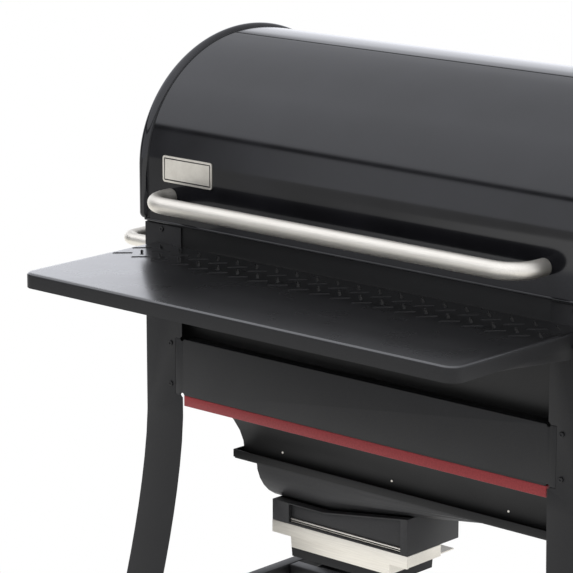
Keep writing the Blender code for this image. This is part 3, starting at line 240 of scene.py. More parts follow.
# %% [markdown]
# ## Handing a piece in
# A finished piece gets a name, a body to ride on and a finish.
# Where it stands for a CAD node, that node is hidden and stays behind for the physics. A piece can
# also carry a second finish on the faces that a test picks.

# %% Keeping pieces
CAD_MERGE_GAP = 1e-5
FLAT_ANGLE = 0.5


def keep(obj, name, body, slot, finish, *stands_for):
    """Names a piece, gives it its finish and makes it ride on a body in place of CAD nodes."""
    obj.name = name
    obj.data.name = name
    obj.data.materials.clear()
    obj.data.materials.append(finish)
    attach(obj, body)
    if stands_for:
        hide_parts(*stands_for)
    print(name, "-", len(obj.data.polygons), "faces on", body)
    return obj


def repaint(obj, finish, test):
    """Gives a second finish to the faces whose middle and normal pass a test."""
    obj.data.materials.append(finish)
    for face in obj.data.polygons:
        face.material_index = int(test(face.center, face.normal))
    painted = sum(face.material_index for face in obj.data.polygons)
    print(obj.name, "-", painted, "faces in", finish.name)


def softened(node, edge, finish):
    """A copy of a CAD node, its flat faces merged and its edges rounded, in the node's place."""
    obj = bpy.data.objects.new(node, frame["nodes"][node].data.copy())
    bpy.context.scene.collection.objects.link(obj)
    only(obj)
    bpy.ops.object.mode_set(mode="EDIT")
    bpy.ops.mesh.select_all(action="SELECT")
    bpy.ops.mesh.remove_doubles(threshold=CAD_MERGE_GAP)
    bpy.ops.mesh.dissolve_limited(angle_limit=math.radians(FLAT_ANGLE))
    leave()
    rounded(obj, edge)
    return keep(obj, node + "_piece", NODE_BODY[node], NODE_SLOT[node], finish, node)


# %% [markdown]
# ## Finishes
# Each finish starts from the real material: what it is, how its surface was made, and what that
# gives the eye. Colours are written as sRGB hex values and turned to linear light by one function.
# Patterns are sized from real millimetres: a noise scale of 1 / size in metres puts one ripple in
# that size.

# %% Tools for finishes
def linear(colour):
    """An sRGB hex value as linear light."""
    parts = [int(colour[i:i + 2], 16) / 255 for i in (1, 3, 5)]
    return (*[c / 12.92 if c <= 0.04045 else ((c + 0.055) / 1.055) ** 2.4 for c in parts], 1)


def per_mm(size):
    """The texture scale that puts one ripple in a size in millimetres."""
    return 1 / (size * MM)


def add(tree, kind, settings=(), **sockets):
    """Adds a node with its settings, and fills its sockets with values or links."""
    made = tree.nodes.new("ShaderNode" + kind)
    for setting, value in dict(settings).items():
        setattr(made, setting, value)
    for socket, value in sockets.items():
        target = made.inputs[socket.replace("_", " ")]
        if isinstance(value, bpy.types.NodeSocket):
            tree.links.new(value, target)
        else:
            target.default_value = value
    return made


def finish_base(name, roughness, metallic=0.0, ior=None):
    """A material with one Principled shader, its node tree and the object's own coordinates."""
    made = bpy.data.materials.new(name)
    made.use_nodes = True
    tree = made.node_tree
    shader = tree.nodes["Principled BSDF"]
    shader.inputs["Roughness"].default_value = roughness
    shader.inputs["Metallic"].default_value = metallic
    if ior:
        shader.inputs["IOR"].default_value = ior
    return made, tree, shader, add(tree, "TexCoord").outputs["Object"]


def tinted(tree, shader, factor, *stops):
    """Colours the shader by a factor, between two stops of place and hex colour."""
    ramp = add(tree, "ValToRGB", Fac=factor)
    for stop, (position, colour) in zip(ramp.color_ramp.elements, stops):
        stop.position = position
        stop.color = linear(colour)
    tree.links.new(ramp.outputs["Color"], shader.inputs["Base Color"])


def worn(tree, shader, factor, low, high):
    """Varies the roughness by a factor, between two values."""
    level = add(tree, "MapRange", Value=factor, To_Min=low, To_Max=high)
    tree.links.new(level.outputs["Result"], shader.inputs["Roughness"])


def relief(tree, shader, height, depth, strength):
    """Raises the surface by a height pattern, with its depth in millimetres."""
    bump = add(tree, "Bump", Height=height, Distance=depth * MM, Strength=strength)
    tree.links.new(bump.outputs["Normal"], shader.inputs["Normal"])


# %% [markdown]
# Porcelain enamel is glass fused on steel at red heat. It is near black and mirror bright, and the
# melt leaves a faint orange peel, about 14 mm from ripple to ripple, that only bends the
# reflections a little. Wiping leaves it a shade duller in some places than in others.

# %% Porcelain enamel
ENAMEL_ROUGHNESS, ENAMEL_WEAR = 0.1, 0.03
ENAMEL, tree, shader, place = finish_base("porcelain_enamel_on_steel", ENAMEL_ROUGHNESS, ior=1.52)
cloud = add(tree, "TexNoise", Vector=place, Scale=per_mm(90), Detail=3.0)
tinted(tree, shader, cloud.outputs["Fac"], (0.3, "#101012"), (0.7, "#161619"))
peel = add(tree, "TexNoise", Vector=place, Scale=per_mm(14), Detail=1.0)
relief(tree, shader, peel.outputs["Fac"], depth=0.02, strength=0.35)
worn(tree, shader, cloud.outputs["Fac"],
     low=ENAMEL_ROUGHNESS - ENAMEL_WEAR, high=ENAMEL_ROUGHNESS + ENAMEL_WEAR)
print(ENAMEL.name)

# %% [markdown]
# Powder coat is sprayed as dry powder and baked. On the cart it is a charcoal satin with a fine
# sandy grain; the real grain is about 0.3 mm and is drawn at 1.6 mm so that it shows. The matting
# agent in the powder dulls its gloss, so its IOR is a little lower than a clear resin's. The
# shelf's top has a blacker coat with a clear gloss over it, which mirrors the room at a glancing
# angle; its grain is wider and very shallow.


# %% Powder coats
def powder_coat(name, dark, light, roughness, grain, depth):
    """A baked powder coat with a sandy grain, its size and depth in millimetres."""
    made, tree, shader, place = finish_base(name, roughness, ior=1.38)
    sand = add(tree, "TexNoise", Vector=place, Scale=per_mm(grain), Detail=2.0, Roughness=0.6)
    tinted(tree, shader, sand.outputs["Fac"], (0.35, dark), (0.65, light))
    relief(tree, shader, sand.outputs["Fac"], depth, strength=0.5)
    haze = add(tree, "TexNoise", Vector=place, Scale=per_mm(70), Detail=3.0)
    worn(tree, shader, haze.outputs["Fac"], low=roughness - 0.05, high=roughness + 0.06)
    return made


CHARCOAL = powder_coat("charcoal_powder_coat", "#161617", "#1d1d1e",
                       roughness=0.48, grain=1.6, depth=0.05)
SHELF_COAT = powder_coat("gloss_black_powder_coat", "#0e0e0f", "#151516",
                         roughness=0.28, grain=2.5, depth=0.007)
GLOSS = {"IOR": 1.5, "Coat Weight": 1.0, "Coat IOR": 1.6, "Coat Roughness": 0.2}
for socket, value in GLOSS.items():
    SHELF_COAT.node_tree.nodes["Principled BSDF"].inputs[socket].default_value = value
print(CHARCOAL.name, SHELF_COAT.name)

# %% [markdown]
# Stainless tube is ground with a belt along its length, which leaves long fine scratches. They
# stretch the reflections across the tube. The handles run along X and along Y, so each has its own
# direction of scratches. Real scratches are a few hundredths of a millimetre wide and are drawn
# about a millimetre wide so that they show.


# %% Brushed stainless
def brushed_steel(name, scratch_size, roughness):
    """Belt-ground stainless steel with scratches of a size in millimetres along X, Y and Z."""
    made, tree, shader, place = finish_base(name, roughness, metallic=1.0)
    run = add(tree, "Mapping", Vector=place)
    run.inputs["Scale"].default_value = [per_mm(size) for size in scratch_size]
    scratch = add(tree, "TexNoise", Vector=run.outputs["Vector"],
                  Scale=1.0, Detail=4.0, Roughness=0.7)
    tinted(tree, shader, scratch.outputs["Fac"], (0.25, "#d9d4ca"), (0.75, "#f3efe5"))
    worn(tree, shader, scratch.outputs["Fac"], low=roughness - 0.08, high=roughness + 0.1)
    relief(tree, shader, scratch.outputs["Fac"], depth=0.02, strength=0.25)
    return made


STEEL_X = brushed_steel("stainless_brushed_along_x", (60, 1.2, 1.2), roughness=0.46)
STEEL_Y = brushed_steel("stainless_brushed_along_y", (1.2, 60, 1.2), roughness=0.4)
STEEL_PLAIN = brushed_steel("bright_rolled_stainless", (40, 40, 40), roughness=0.42)
print(STEEL_X.name, STEEL_Y.name, STEEL_PLAIN.name)

# %% [markdown]
# The other finishes: a red satin paint on the trim strip; seasoned cast iron that is rough and
# nearly black; ABS moulded with a spark-eroded grain; rubber treads; a grey satin powder coat on
# the funnel and the ash boxes; matt black heat paint on the cookbox; a matt black paint for dark
# lines in seams and sunk lines, for painted shade in the joints at the lid's ends and for a painted
# reflection of the lid handle; zinc-plated screws; and an acrylic window. Where a real grain is
# finer than a millimetre it is drawn coarser, so that it shows.

# %% Other finishes
RED = powder_coat("red_satin_paint", "#84292c", "#923235", roughness=0.42, grain=3.0, depth=0.02)
IRON = powder_coat("seasoned_cast_iron", "#19191a", "#2a2927",
                   roughness=0.62, grain=2.2, depth=0.25)
ABS = powder_coat("spark_grained_black_abs", "#17171a", "#1e1e21",
                  roughness=0.46, grain=1.1, depth=0.05)
RUBBER = powder_coat("moulded_grey_rubber", "#29292a", "#333334",
                     roughness=0.78, grain=4.0, depth=0.06)
GREY_COAT = powder_coat("grey_satin_powder_coat", "#2a2a2b", "#323233",
                        roughness=0.45, grain=1.6, depth=0.04)
HEAT_PAINT = powder_coat("matt_black_heat_paint", "#0c0c0c", "#121212",
                         roughness=0.5, grain=2.0, depth=0.04)
# Matt black paint: dark lines, painted shade in the lid ends' joints and a painted reflection
# inside the handle.
SHADE_AND_LINE_BLACK = powder_coat("matt_black_painted_shade_and_lines", "#101011", "#161617",
                  roughness=0.6, grain=2.0, depth=0.02)
ZINC = brushed_steel("bright_zinc_plate", (3, 3, 3), roughness=0.3)
ACRYLIC, tree, shader, place = finish_base("smoked_acrylic_window", 0.05, ior=1.49)
smoke = add(tree, "TexNoise", Vector=place, Scale=per_mm(30))
tinted(tree, shader, smoke.outputs["Fac"], (0.3, "#08090b"), (0.7, "#0c0e11"))
for finish in (RED, IRON, ABS, RUBBER, GREY_COAT, HEAT_PAINT, SHADE_AND_LINE_BLACK, ZINC, ACRYLIC):
    print(finish.name)

# %% [markdown]
# ## The barrel lid
# The lid is a sheet rolled over a half-oval with straight skirts. Its section is drawn once as a
# thin U, from the outer face round the hem to the inner face, filled, and pulled out along the
# lid's length. Ninety-six steps keep the reflections in the enamel smooth, which the CAD's coarser
# barrel can't. The front hem is rolled round a wire, so a small round bar is added along it. Near
# the crown a thin raised strip, painted matt black, draws one thin dark line from end to end.

# %% Barrel
LID_MIDDLE, LID_LOW, LID_WAIST = 260, 884, 975
LID_DEPTH, LID_RISE, LID_HALF, LID_GAUGE = 264, 215, 478, 1.5
BARREL_STEPS = 96
HEM_RADIUS, HEM_STEPS, HEM_SMOOTH = 2.4, 12, 40


def barrel_point(degrees, offset):
    """A point on the lid's half-oval, counted in degrees from the front, as (y, z)."""
    angle = math.radians(degrees)
    return (LID_MIDDLE - (LID_DEPTH + offset) * math.cos(angle),
            LID_WAIST + (LID_RISE + offset) * math.sin(angle))


def barrel_outline(offset):
    """The lid's outline from its front hem over the crown to its rear hem, as (y, z)."""
    points = [(LID_MIDDLE - LID_DEPTH - offset, LID_LOW)]
    points += [barrel_point(180 * i / BARREL_STEPS, offset) for i in range(BARREL_STEPS + 1)]
    return points + [(LID_MIDDLE + LID_DEPTH + offset, LID_LOW)]


sheet = barrel_outline(0) + barrel_outline(-LID_GAUGE)[::-1]
barrel = pulled(sheet, -LID_HALF, 2 * LID_HALF)
smooth()
hem_ring = arc(LID_MIDDLE - LID_DEPTH, LID_LOW, HEM_RADIUS, 0, 360, HEM_STEPS)[:-1]
hem = pulled(hem_ring, -LID_HALF, 2 * LID_HALF)
smooth(HEM_SMOOTH)
keep(joined([barrel, hem]), "lid_barrel", "lid", "enamel", ENAMEL, "lid_skin")

# %% Dark line near the crown
CROWN_LINE_FROM, CROWN_LINE_TO, CROWN_LINE_RISE, CROWN_LINE_SINK, CROWN_LINE_ROUND = 79.8, 80.3, 0.4, 0.3, 0.15
crown_line_ring = [barrel_point(CROWN_LINE_FROM, -CROWN_LINE_SINK), barrel_point(CROWN_LINE_TO, -CROWN_LINE_SINK),
            barrel_point(CROWN_LINE_TO, CROWN_LINE_RISE), barrel_point(CROWN_LINE_FROM, CROWN_LINE_RISE)]
crown_line = rounded(pulled(crown_line_ring, -LID_HALF, 2 * LID_HALF), CROWN_LINE_ROUND)
keep(crown_line, "lid_crown_dark_line", "lid", "enamel", SHADE_AND_LINE_BLACK)

# %% [markdown]
# Each end of the lid is a pressing: a round bead stands proud of the barrel all the way round, and
# the panel inside it is sunk. The outline is filled and pulled out to its depth and a wide bevel
# rounds the bead. Only then are the outer face and the back inset and pushed in, because a bevel
# stops at the nearest short edge. A small ear behind it takes the hinge pin. A thin strip of matt
# black paint in the groove between the bead and the barrel is painted shade.

# %% Lid ends
BEAD, BEAD_ROUND, BEAD_STEPS = 6, 10.2, 8
END_NEAR, END_DEPTH, END_ROUND, END_ANGLE = 470.3, 21, 1.2, 35
PANEL_MARGIN, PANEL_SINK, BACK_MARGIN, BACK_SINK = 5, 4, 3, 14
SQUARELY = 0.999
HINGE_Y, HINGE_Z = 541, 884
EAR_RADIUS, EAR_FRONT, EAR_LIFT, EAR_STEPS = 10, 518, 0.5, 14
EAR_GAP, EAR_DEPTH, EAR_ROUND = 0.8, 13, 1
JOINT_NEAR, JOINT_WIDTH, JOINT_PROUD, JOINT_ROUND, JOINT_ANGLE = 468.5, 4, 0.5, 0.2, 60

ear_ring = [(EAR_FRONT, LID_LOW + EAR_LIFT)]
ear_ring += arc(HINGE_Y, HINGE_Z, EAR_RADIUS, -120, 210, EAR_STEPS)
ear_ring += [(EAR_FRONT, HINGE_Z + EAR_RADIUS)]
joint_shade_ring = barrel_outline(JOINT_PROUD) + barrel_outline(-JOINT_PROUD)[::-1]
for label, side in SIDES.items():
    cap = pulled(barrel_outline(BEAD), side * END_NEAR, side * END_DEPTH)
    rounded(cap, BEAD_ROUND, BEAD_STEPS, END_ANGLE)
    for way, margin, sink in ((side, PANEL_MARGIN, PANEL_SINK), (-side, BACK_MARGIN, BACK_SINK)):
        pick(cap, lambda middle, normal: normal.x * way > SQUARELY)
        bpy.ops.mesh.inset(thickness=margin * MM, use_even_offset=True)
        push((-way * sink * MM, 0, 0))
        leave()
    rounded(cap, END_ROUND, angle=END_ANGLE)
    ear = rounded(pulled(ear_ring, side * (LID_HALF + EAR_GAP), side * EAR_DEPTH), EAR_ROUND, 3)
    keep(joined([cap, ear]), "lid_end_bead_" + label, "lid", "enamel", ENAMEL, "lid_end_" + label)
    # A thin black strip in the joint between bead and barrel: painted shade.
    joint_shade = pulled(joint_shade_ring, side * JOINT_NEAR, side * JOINT_WIDTH)
    rounded(joint_shade, JOINT_ROUND, angle=JOINT_ANGLE)
    keep(joint_shade, "lid_end_joint_shade_" + label, "lid", "enamel", SHADE_AND_LINE_BLACK)

# %% [markdown]
# ## Handles
# Both handles are tube bent at two corners. A curve runs through the straight parts and round each
# corner, its bevel gives it the tube's thickness, and it is turned into a mesh. On the real grill
# the shelf and the lid mirror the long handle as a dark bar, so its bright skin is kept out of
# reflections and a black tube just inside it is seen there instead: a painted reflection.

# %% Bent tubes
BEND_STEPS, TUBE_RESOLUTION, TUBE_SMOOTH = 12, 8, 40


def bend_points(corners, radius):
    """Points along straight runs with each inner corner rounded to a radius, in metres."""
    points = [corners[0]]
    for before, here, after in zip(corners, corners[1:], corners[2:]):
        into, out = (here - before).normalized(), (after - here).normalized()
        centre = here + (out - into) * radius
        for i in range(BEND_STEPS + 1):
            angle = math.pi / 2 * i / BEND_STEPS
            points.append(centre - out * radius * math.cos(angle) + into * radius * math.sin(angle))
    return points + [corners[-1]]


def bent_tube(corners, radius, corner_radius):
    """A bent tube through corners given in the cart's frame, all in millimetres."""
    bpy.ops.object.select_all(action="DESELECT")
    bpy.ops.curve.primitive_bezier_curve_add()
    path = bpy.context.active_object.data
    path.splines.clear()
    spline = path.splines.new("POLY")
    points = bend_points([at(*corner) for corner in corners], corner_radius * MM)
    spline.points.add(len(points) - 1)
    for knot, point in zip(spline.points, points):
        knot.co = (*point, 1)
    path.bevel_depth = radius * MM
    path.bevel_resolution = TUBE_RESOLUTION
    path.use_fill_caps = True
    bpy.ops.object.convert(target="MESH")
    obj = outwards(bpy.context.active_object)
    obj.matrix_world = Matrix.Identity(4)
    smooth(TUBE_SMOOTH)
    return obj


# %% Lid handle
GRIP_LEFT, GRIP_RIGHT, GRIP_Y, GRIP_Z = -415, 385, -70, 931
GRIP_RADIUS, GRIP_BEND, GRIP_FOOT = 14.5, 48, -4.3
DARK_TUBE_RADIUS, DARK_TUBE_FOOT = 14, -6


def grip_path(foot):
    """The lid handle's corners, from a foot at the lid's face out to the grip and back."""
    return [(GRIP_LEFT, foot, GRIP_Z), (GRIP_LEFT, GRIP_Y, GRIP_Z),
            (GRIP_RIGHT, GRIP_Y, GRIP_Z), (GRIP_RIGHT, foot, GRIP_Z)]


grip = bent_tube(grip_path(GRIP_FOOT), GRIP_RADIUS, GRIP_BEND)
keep(grip, "lid_grip", "lid", "stainless", STEEL_X, "lid_handle")
grip.visible_glossy = False
# A black tube just inside the grip, seen in reflections in its place: a painted reflection.
dark_reflection_tube = bent_tube(grip_path(DARK_TUBE_FOOT), DARK_TUBE_RADIUS, GRIP_BEND)
keep(dark_reflection_tube, "lid_grip_painted_reflection", "lid", "stainless", SHADE_AND_LINE_BLACK)

# %% Side handle
RAIL_X, RAIL_Z, RAIL_FRONT, RAIL_REAR, RAIL_FOOT = -566.5, 832, 30, 490, -482.8
RAIL_RADIUS, RAIL_BEND = 11, 28
side_grip = bent_tube([(RAIL_FOOT, RAIL_FRONT, RAIL_Z), (RAIL_X, RAIL_FRONT, RAIL_Z),
                       (RAIL_X, RAIL_REAR, RAIL_Z), (RAIL_FOOT, RAIL_REAR, RAIL_Z)],
                      RAIL_RADIUS, RAIL_BEND)
keep(side_grip, "side_grip", "cart", "stainless", STEEL_Y, "side_handle")

# %% [markdown]
# ## The bare plate on the lid
# A thin pressed plate sits on the lid's left side. It is left bare: a bright field inside a bright
# frame, with a sunk dark line between them. An inset face is pushed in and its middle pulled out
# again, and what stays sunk is painted. The plate is kept out of reflections, as the handle is.

# %% Plate
PLATE_LEFT, PLATE_RIGHT, PLATE_LOW, PLATE_HIGH = -432, -316, 956, 1002
PLATE_FRONT, PLATE_BACK, PLATE_CORNER, PLATE_STEPS = -6.8, -4.3, 5, 6
PLATE_FRAME, PLATE_LINE, PLATE_SINK = 3.4, 2.2, 0.8

ring = []
for x, z, start in ((PLATE_LEFT + PLATE_CORNER, PLATE_LOW + PLATE_CORNER, 180),
                    (PLATE_RIGHT - PLATE_CORNER, PLATE_LOW + PLATE_CORNER, 270),
                    (PLATE_RIGHT - PLATE_CORNER, PLATE_HIGH - PLATE_CORNER, 0),
                    (PLATE_LEFT + PLATE_CORNER, PLATE_HIGH - PLATE_CORNER, 90)):
    ring += arc(x, z, PLATE_CORNER, start, 90, PLATE_STEPS)
badge = slab([at(x, PLATE_FRONT, z) for x, z in ring], (0, (PLATE_BACK - PLATE_FRONT) * MM, 0))
pick(badge, lambda middle, normal: normal.y < -FACING)
bpy.ops.mesh.inset(thickness=PLATE_FRAME * MM)
push((0, PLATE_SINK * MM, 0))
bpy.ops.mesh.inset(thickness=PLATE_LINE * MM)
push((0, -PLATE_SINK * MM, 0))
leave()
keep(badge, "bare_name_plate", "lid", "stainless", STEEL_PLAIN, "name_plate")
badge.visible_glossy = False
sunk_y = at(0, PLATE_FRONT + PLATE_SINK / 2, 0).y
repaint(badge, SHADE_AND_LINE_BLACK, lambda middle, normal: normal.y < -FACING and middle.y > sunk_y)

# %% [markdown]
# ## The folding shelf
# The shelf is one tray of sheet with its skirts turned down and two rounded front corners. Its
# outline is filled and pulled down, the open underside and rear are deleted, the top edge is rolled
# with a bevel, and Solidify gives it its gauge. The slots along its rear are cut with a Boolean,
# all at once.

# %% Shelf
SHELF_HALF, SHELF_REAR, SHELF_FRONT, SHELF_TOP, SHELF_SKIRT = 460, -1.5, -315, 845, 25
SHELF_CORNER, SHELF_CORNER_STEPS, SHELF_GAUGE = 24, 14, 2.5
SHELF_ROLL, SHELF_ROLL_STEPS = 5, 5
HAIR = 1e-5

plan = arc(-SHELF_HALF + SHELF_CORNER, SHELF_FRONT + SHELF_CORNER, SHELF_CORNER,
           180, 90, SHELF_CORNER_STEPS)
plan += arc(SHELF_HALF - SHELF_CORNER, SHELF_FRONT + SHELF_CORNER, SHELF_CORNER,
            270, 90, SHELF_CORNER_STEPS)
plan += [(SHELF_HALF, SHELF_REAR), (-SHELF_HALF, SHELF_REAR)]
shelf = slab([at(x, y, SHELF_TOP) for x, y in plan], (0, 0, -SHELF_SKIRT * MM))
before_rear = at(0, SHELF_REAR, 0).y - HAIR
below_top = SHELF_TOP * MM - HAIR
pick(shelf, lambda middle, normal: normal.z < -FACING or middle.y > before_rear)
bpy.ops.mesh.delete(type="FACE")
leave()
pick(shelf, lambda a, b: min(a.z, b.z) > below_top and min(a.y, b.y) < before_rear, "EDGE")
bpy.ops.mesh.bevel(offset=SHELF_ROLL * MM, segments=SHELF_ROLL_STEPS, affect="EDGES")
leave()
apply(shelf, "SOLIDIFY", thickness=SHELF_GAUGE * MM, offset=-1, use_even_offset=True)
print("shelf sheet", len(shelf.data.polygons), "faces")

# %% [markdown]
# A slot is a long hole with round ends and a low lip pressed up round it. One outline draws both:
# the hole's cutter and, a little wider, the lip. Four rows of copies, turned half a right angle one
# way and then the other, are staggered so that they read as a herringbone. A row starts at the
# first place in the pitch that its stagger gives, and runs on to the last that fits.

# %% One slot
SLOT_LENGTH, SLOT_WIDTH, SLOT_END_STEPS, SLOT_CUT = 32, 4, 8, 10
LIP_WIDTH, LIP_RISE, LIP_ROOT, LIP_ROUND, LIP_ANGLE = 1.4, 0.6, 0.2, 0.3, 40


def long_hole(length, width, z):
    """The outline of a long hole with round ends, in metres about its own middle."""
    end_arc = arc((length - width) / 2, 0, width / 2, -90, 180, SLOT_END_STEPS)
    return [Vector((end * x, end * y, z)) * MM for end in (1, -1) for x, y in end_arc]


hole = slab(long_hole(SLOT_LENGTH, SLOT_WIDTH, -SLOT_CUT), (0, 0, 2 * SLOT_CUT * MM))
lip = outline(long_hole(SLOT_LENGTH + 2 * LIP_WIDTH, SLOT_WIDTH + 2 * LIP_WIDTH, -LIP_ROOT))
pick(lip, every)
bpy.ops.mesh.inset(thickness=LIP_WIDTH * MM)
bpy.ops.mesh.delete(type="FACE")
bpy.ops.mesh.select_all(action="SELECT")
push((0, 0, (LIP_RISE + LIP_ROOT) * MM))
leave()
rounded(outwards(lip), LIP_ROUND, angle=LIP_ANGLE)
print("slot lip", len(lip.data.polygons), "faces")

# %% Rows of slots
SLOT_FIRST, SLOT_LAST, SLOT_REAR, SLOT_ROWS = -441, 441, -24, 4
SLOT_PITCH, SLOT_LEAD, SLOT_SHIFT, SLOT_STEP, SLOT_TURN = 44.7, 21, 24, 25.5, 45

cutters, lips = [], []
for row in range(SLOT_ROWS):
    turn = Matrix.Rotation(math.radians(SLOT_TURN if row % 2 else -SLOT_TURN), 4, "Z")
    x = SLOT_FIRST + (SLOT_LEAD + row * SLOT_SHIFT) % SLOT_PITCH
    while x <= SLOT_LAST:
        spot = Matrix.Translation(at(x, SLOT_REAR - row * SLOT_STEP, SHELF_TOP)) @ turn
        cutters.append(copied(hole, spot))
        lips.append(copied(lip, spot))
        x += SLOT_PITCH
discard(hole)
discard(lip)
cutter = joined(cutters)
apply(shelf, "BOOLEAN", object=cutter, operation="DIFFERENCE", solver="EXACT")
smooth()
discard(cutter)
print(len(lips), "slots")

# %% [markdown]
# At each rear corner the shelf's side carries a lug, a flat plate with a round end that turns on
# the pivot screw. Shelf, lugs and lips become one piece. Its top has the glossy coat, and its
# skirts and underside the charcoal of the cart.

# %% Shelf lugs
PIVOT_Y, PIVOT_Z = -26, 822
LUG_RADIUS, LUG_STEPS, LUG_FRONT, LUG_REAR, LUG_LOW, LUG_TOP = 21, 11, -236, -5, 822.5, 843.5
LUG_GAUGE, LUG_INSET, LUG_ROUND = 2.4, 0.05, 0.6
TOP_FACING = 0.5

lug = [(LUG_FRONT, LUG_LOW)] + arc(PIVOT_Y, PIVOT_Z, LUG_RADIUS, -110, 110, LUG_STEPS)
lug += [(LUG_REAR, LUG_TOP), (LUG_FRONT, LUG_TOP)]
ears = [rounded(pulled(lug, side * (SHELF_HALF - LUG_INSET), -side * LUG_GAUGE), LUG_ROUND)
        for side in SIDES.values()]
tray = joined([shelf] + ears + lips)
keep(tray, "folding_shelf", "shelf", "powder_coat", SHELF_COAT, "front_shelf")
repaint(tray, CHARCOAL, lambda middle, normal: normal.z < TOP_FACING)

# %% [markdown]
# ## Sheet-metal pieces
# Legs, aprons, brackets and boxes already have the right shape in the CAD. What a sharp solid lacks
# is the small round on every bent or deburred edge, which is what catches the light. A copy of each
# is merged and bevelled, with the width of its round, in millimetres, and its finish given here.

# %% Rounded copies
EDGES = {
    "leg_front_left": (0.8, CHARCOAL), "leg_front_right": (0.8, CHARCOAL),
    "leg_rear_left": (0.8, CHARCOAL), "leg_rear_right": (0.8, CHARCOAL),
    "front_apron": (0.8, CHARCOAL), "rear_apron": (0.8, CHARCOAL),
    "lower_rail_left": (1.0, CHARCOAL), "lower_rail_right": (1.0, CHARCOAL),
    "lower_cross_rail": (1.0, CHARCOAL), "cookbox": (0.8, HEAT_PAINT),
    "funnel": (0.8, GREY_COAT), "drawer_housing": (0.8, GREY_COAT),
    "ash_drawer": (0.8, GREY_COAT), "drawer_lip": (0.6, STEEL_X), "grease_pan": (0.6, STEEL_X),
    "pan_runner_left": (0.5, STEEL_X), "pan_runner_right": (0.5, STEEL_X),
    "red_trim_strip": (0.5, RED),
    "cooking_grate_left": (1.5, IRON), "cooking_grate_right": (1.5, IRON), "burn_pot": (0.8, IRON),
    "heat_baffle_1": (0.6, IRON), "heat_baffle_2": (0.6, IRON), "heat_baffle_3": (0.6, IRON),
    "heat_baffle_4": (0.6, IRON), "igniter_rod": (0.8, STEEL_Y),
    "lid_hinge_bracket_left": (0.6, CHARCOAL), "lid_hinge_bracket_right": (0.6, CHARCOAL),
    "shelf_bracket_left": (0.6, CHARCOAL), "shelf_bracket_right": (0.6, CHARCOAL),
    "side_table": (0.6, SHELF_COAT), "controller_case": (0.8, ABS),
    "pellet_hopper": (0.8, CHARCOAL), "hopper_lid": (0.8, CHARCOAL), "auger_tube": (0.5, STEEL_Y),
    "auger_motor": (0.8, ABS), "fan_housing": (0.5, ABS), "fan_wheel": (0.3, ABS),
    "feed_auger": (0.3, STEEL_PLAIN), "power_button": (0.6, STEEL_PLAIN),
    "brake_lever_front_left": (0.8, ABS), "brake_lever_front_right": (0.8, ABS),
    "caster_fork_front_left": (0.6, CHARCOAL), "caster_fork_front_right": (0.6, CHARCOAL),
    "caster_fork_rear_left": (0.6, CHARCOAL), "caster_fork_rear_right": (0.6, CHARCOAL),
    "display": (0.4, ACRYLIC),
}
PIECES = {node: softened(node, edge, finish) for node, (edge, finish) in EDGES.items()}

# %% [markdown]
# The grease pan is bright at its rim and painted black below a level line. The drawer's bright lip
# has a dark line painted along the middle third of its height. Level cuts all round set the
# finishes apart.


# %% Two finishes on a piece
def painted_black_band(obj, cuts, low, high):
    """Cuts a piece at levels in millimetres and paints black what lies between two levels."""
    for level in cuts:
        pick(obj, every)
        bpy.ops.mesh.bisect(plane_co=at(0, 0, level), plane_no=(0, 0, 1))
        leave()
    repaint(obj, SHADE_AND_LINE_BLACK, lambda middle, normal: low * MM < middle.z < high * MM)


PAN_LINE = 311
painted_black_band(PIECES["grease_pan"], [PAN_LINE], 0, PAN_LINE)
lip_levels = [corner[2] / MM for corner in PIECES["drawer_lip"].bound_box]
lip_third = (max(lip_levels) - min(lip_levels)) / 3
lip_cuts = [min(lip_levels) + lip_third, max(lip_levels) - lip_third]
painted_black_band(PIECES["drawer_lip"], lip_cuts, *lip_cuts)

# %% [markdown]
# ## Wheels
# A caster wheel is turned: half of its section, with tread, rim groove and hub, is drawn once and
# spun about the axle by a Screw modifier. The four wheels share the shape, so each is a copy.

# %% Caster wheels
WHEEL_STEPS, WHEEL_SMOOTH = 64, 35
# Each point is a radius and a place along the axle.
WHEEL_SECTION = [(5.4, 12), (10, 12), (11, 10.5), (24, 9), (26, 11.2), (28, 12), (33, 11.6),
                 (36.4, 9.2), (38, 5), (38, 1.2), (37, 0), (38, -1.2), (38, -5), (36.4, -9.2),
                 (33, -11.6), (28, -12), (26, -11.2), (24, -9), (11, -10.5), (10, -12), (5.4, -12)]

section = [Vector((along * MM, 0, radius * MM)) for radius, along in WHEEL_SECTION]
wheel = outline(section, fill=False)
apply(wheel, "SCREW", axis="X", steps=WHEEL_STEPS, render_steps=WHEEL_STEPS,
      use_merge_vertices=True, merge_threshold=MERGE_GAP)
outwards(wheel)
smooth(WHEEL_SMOOTH)
for corner in ("front_left", "front_right", "rear_left", "rear_right"):
    low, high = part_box("caster_wheel_" + corner)
    twin = copied(wheel, Matrix.Translation((low + high) / 2))
    keep(twin, "caster_tread_" + corner, "wheel_" + corner, "rubber", RUBBER,
         "caster_wheel_" + corner)
discard(wheel)

# %% [markdown]
# ## Control knob
# The knob is a cylinder whose rim is fluted for the fingers: points round it are drawn in by turns,
# its front is narrower than its foot, and the front face is inset and sunk.

# %% Knob
KNOB_RADIUS, KNOB_POINTS = 24, 96
KNOB_FLUTE, KNOB_TAPER = 0.94, 0.84
KNOB_RIM, KNOB_SINK, KNOB_ROUND, KNOB_ANGLE = 3, 1.2, 0.5, 25

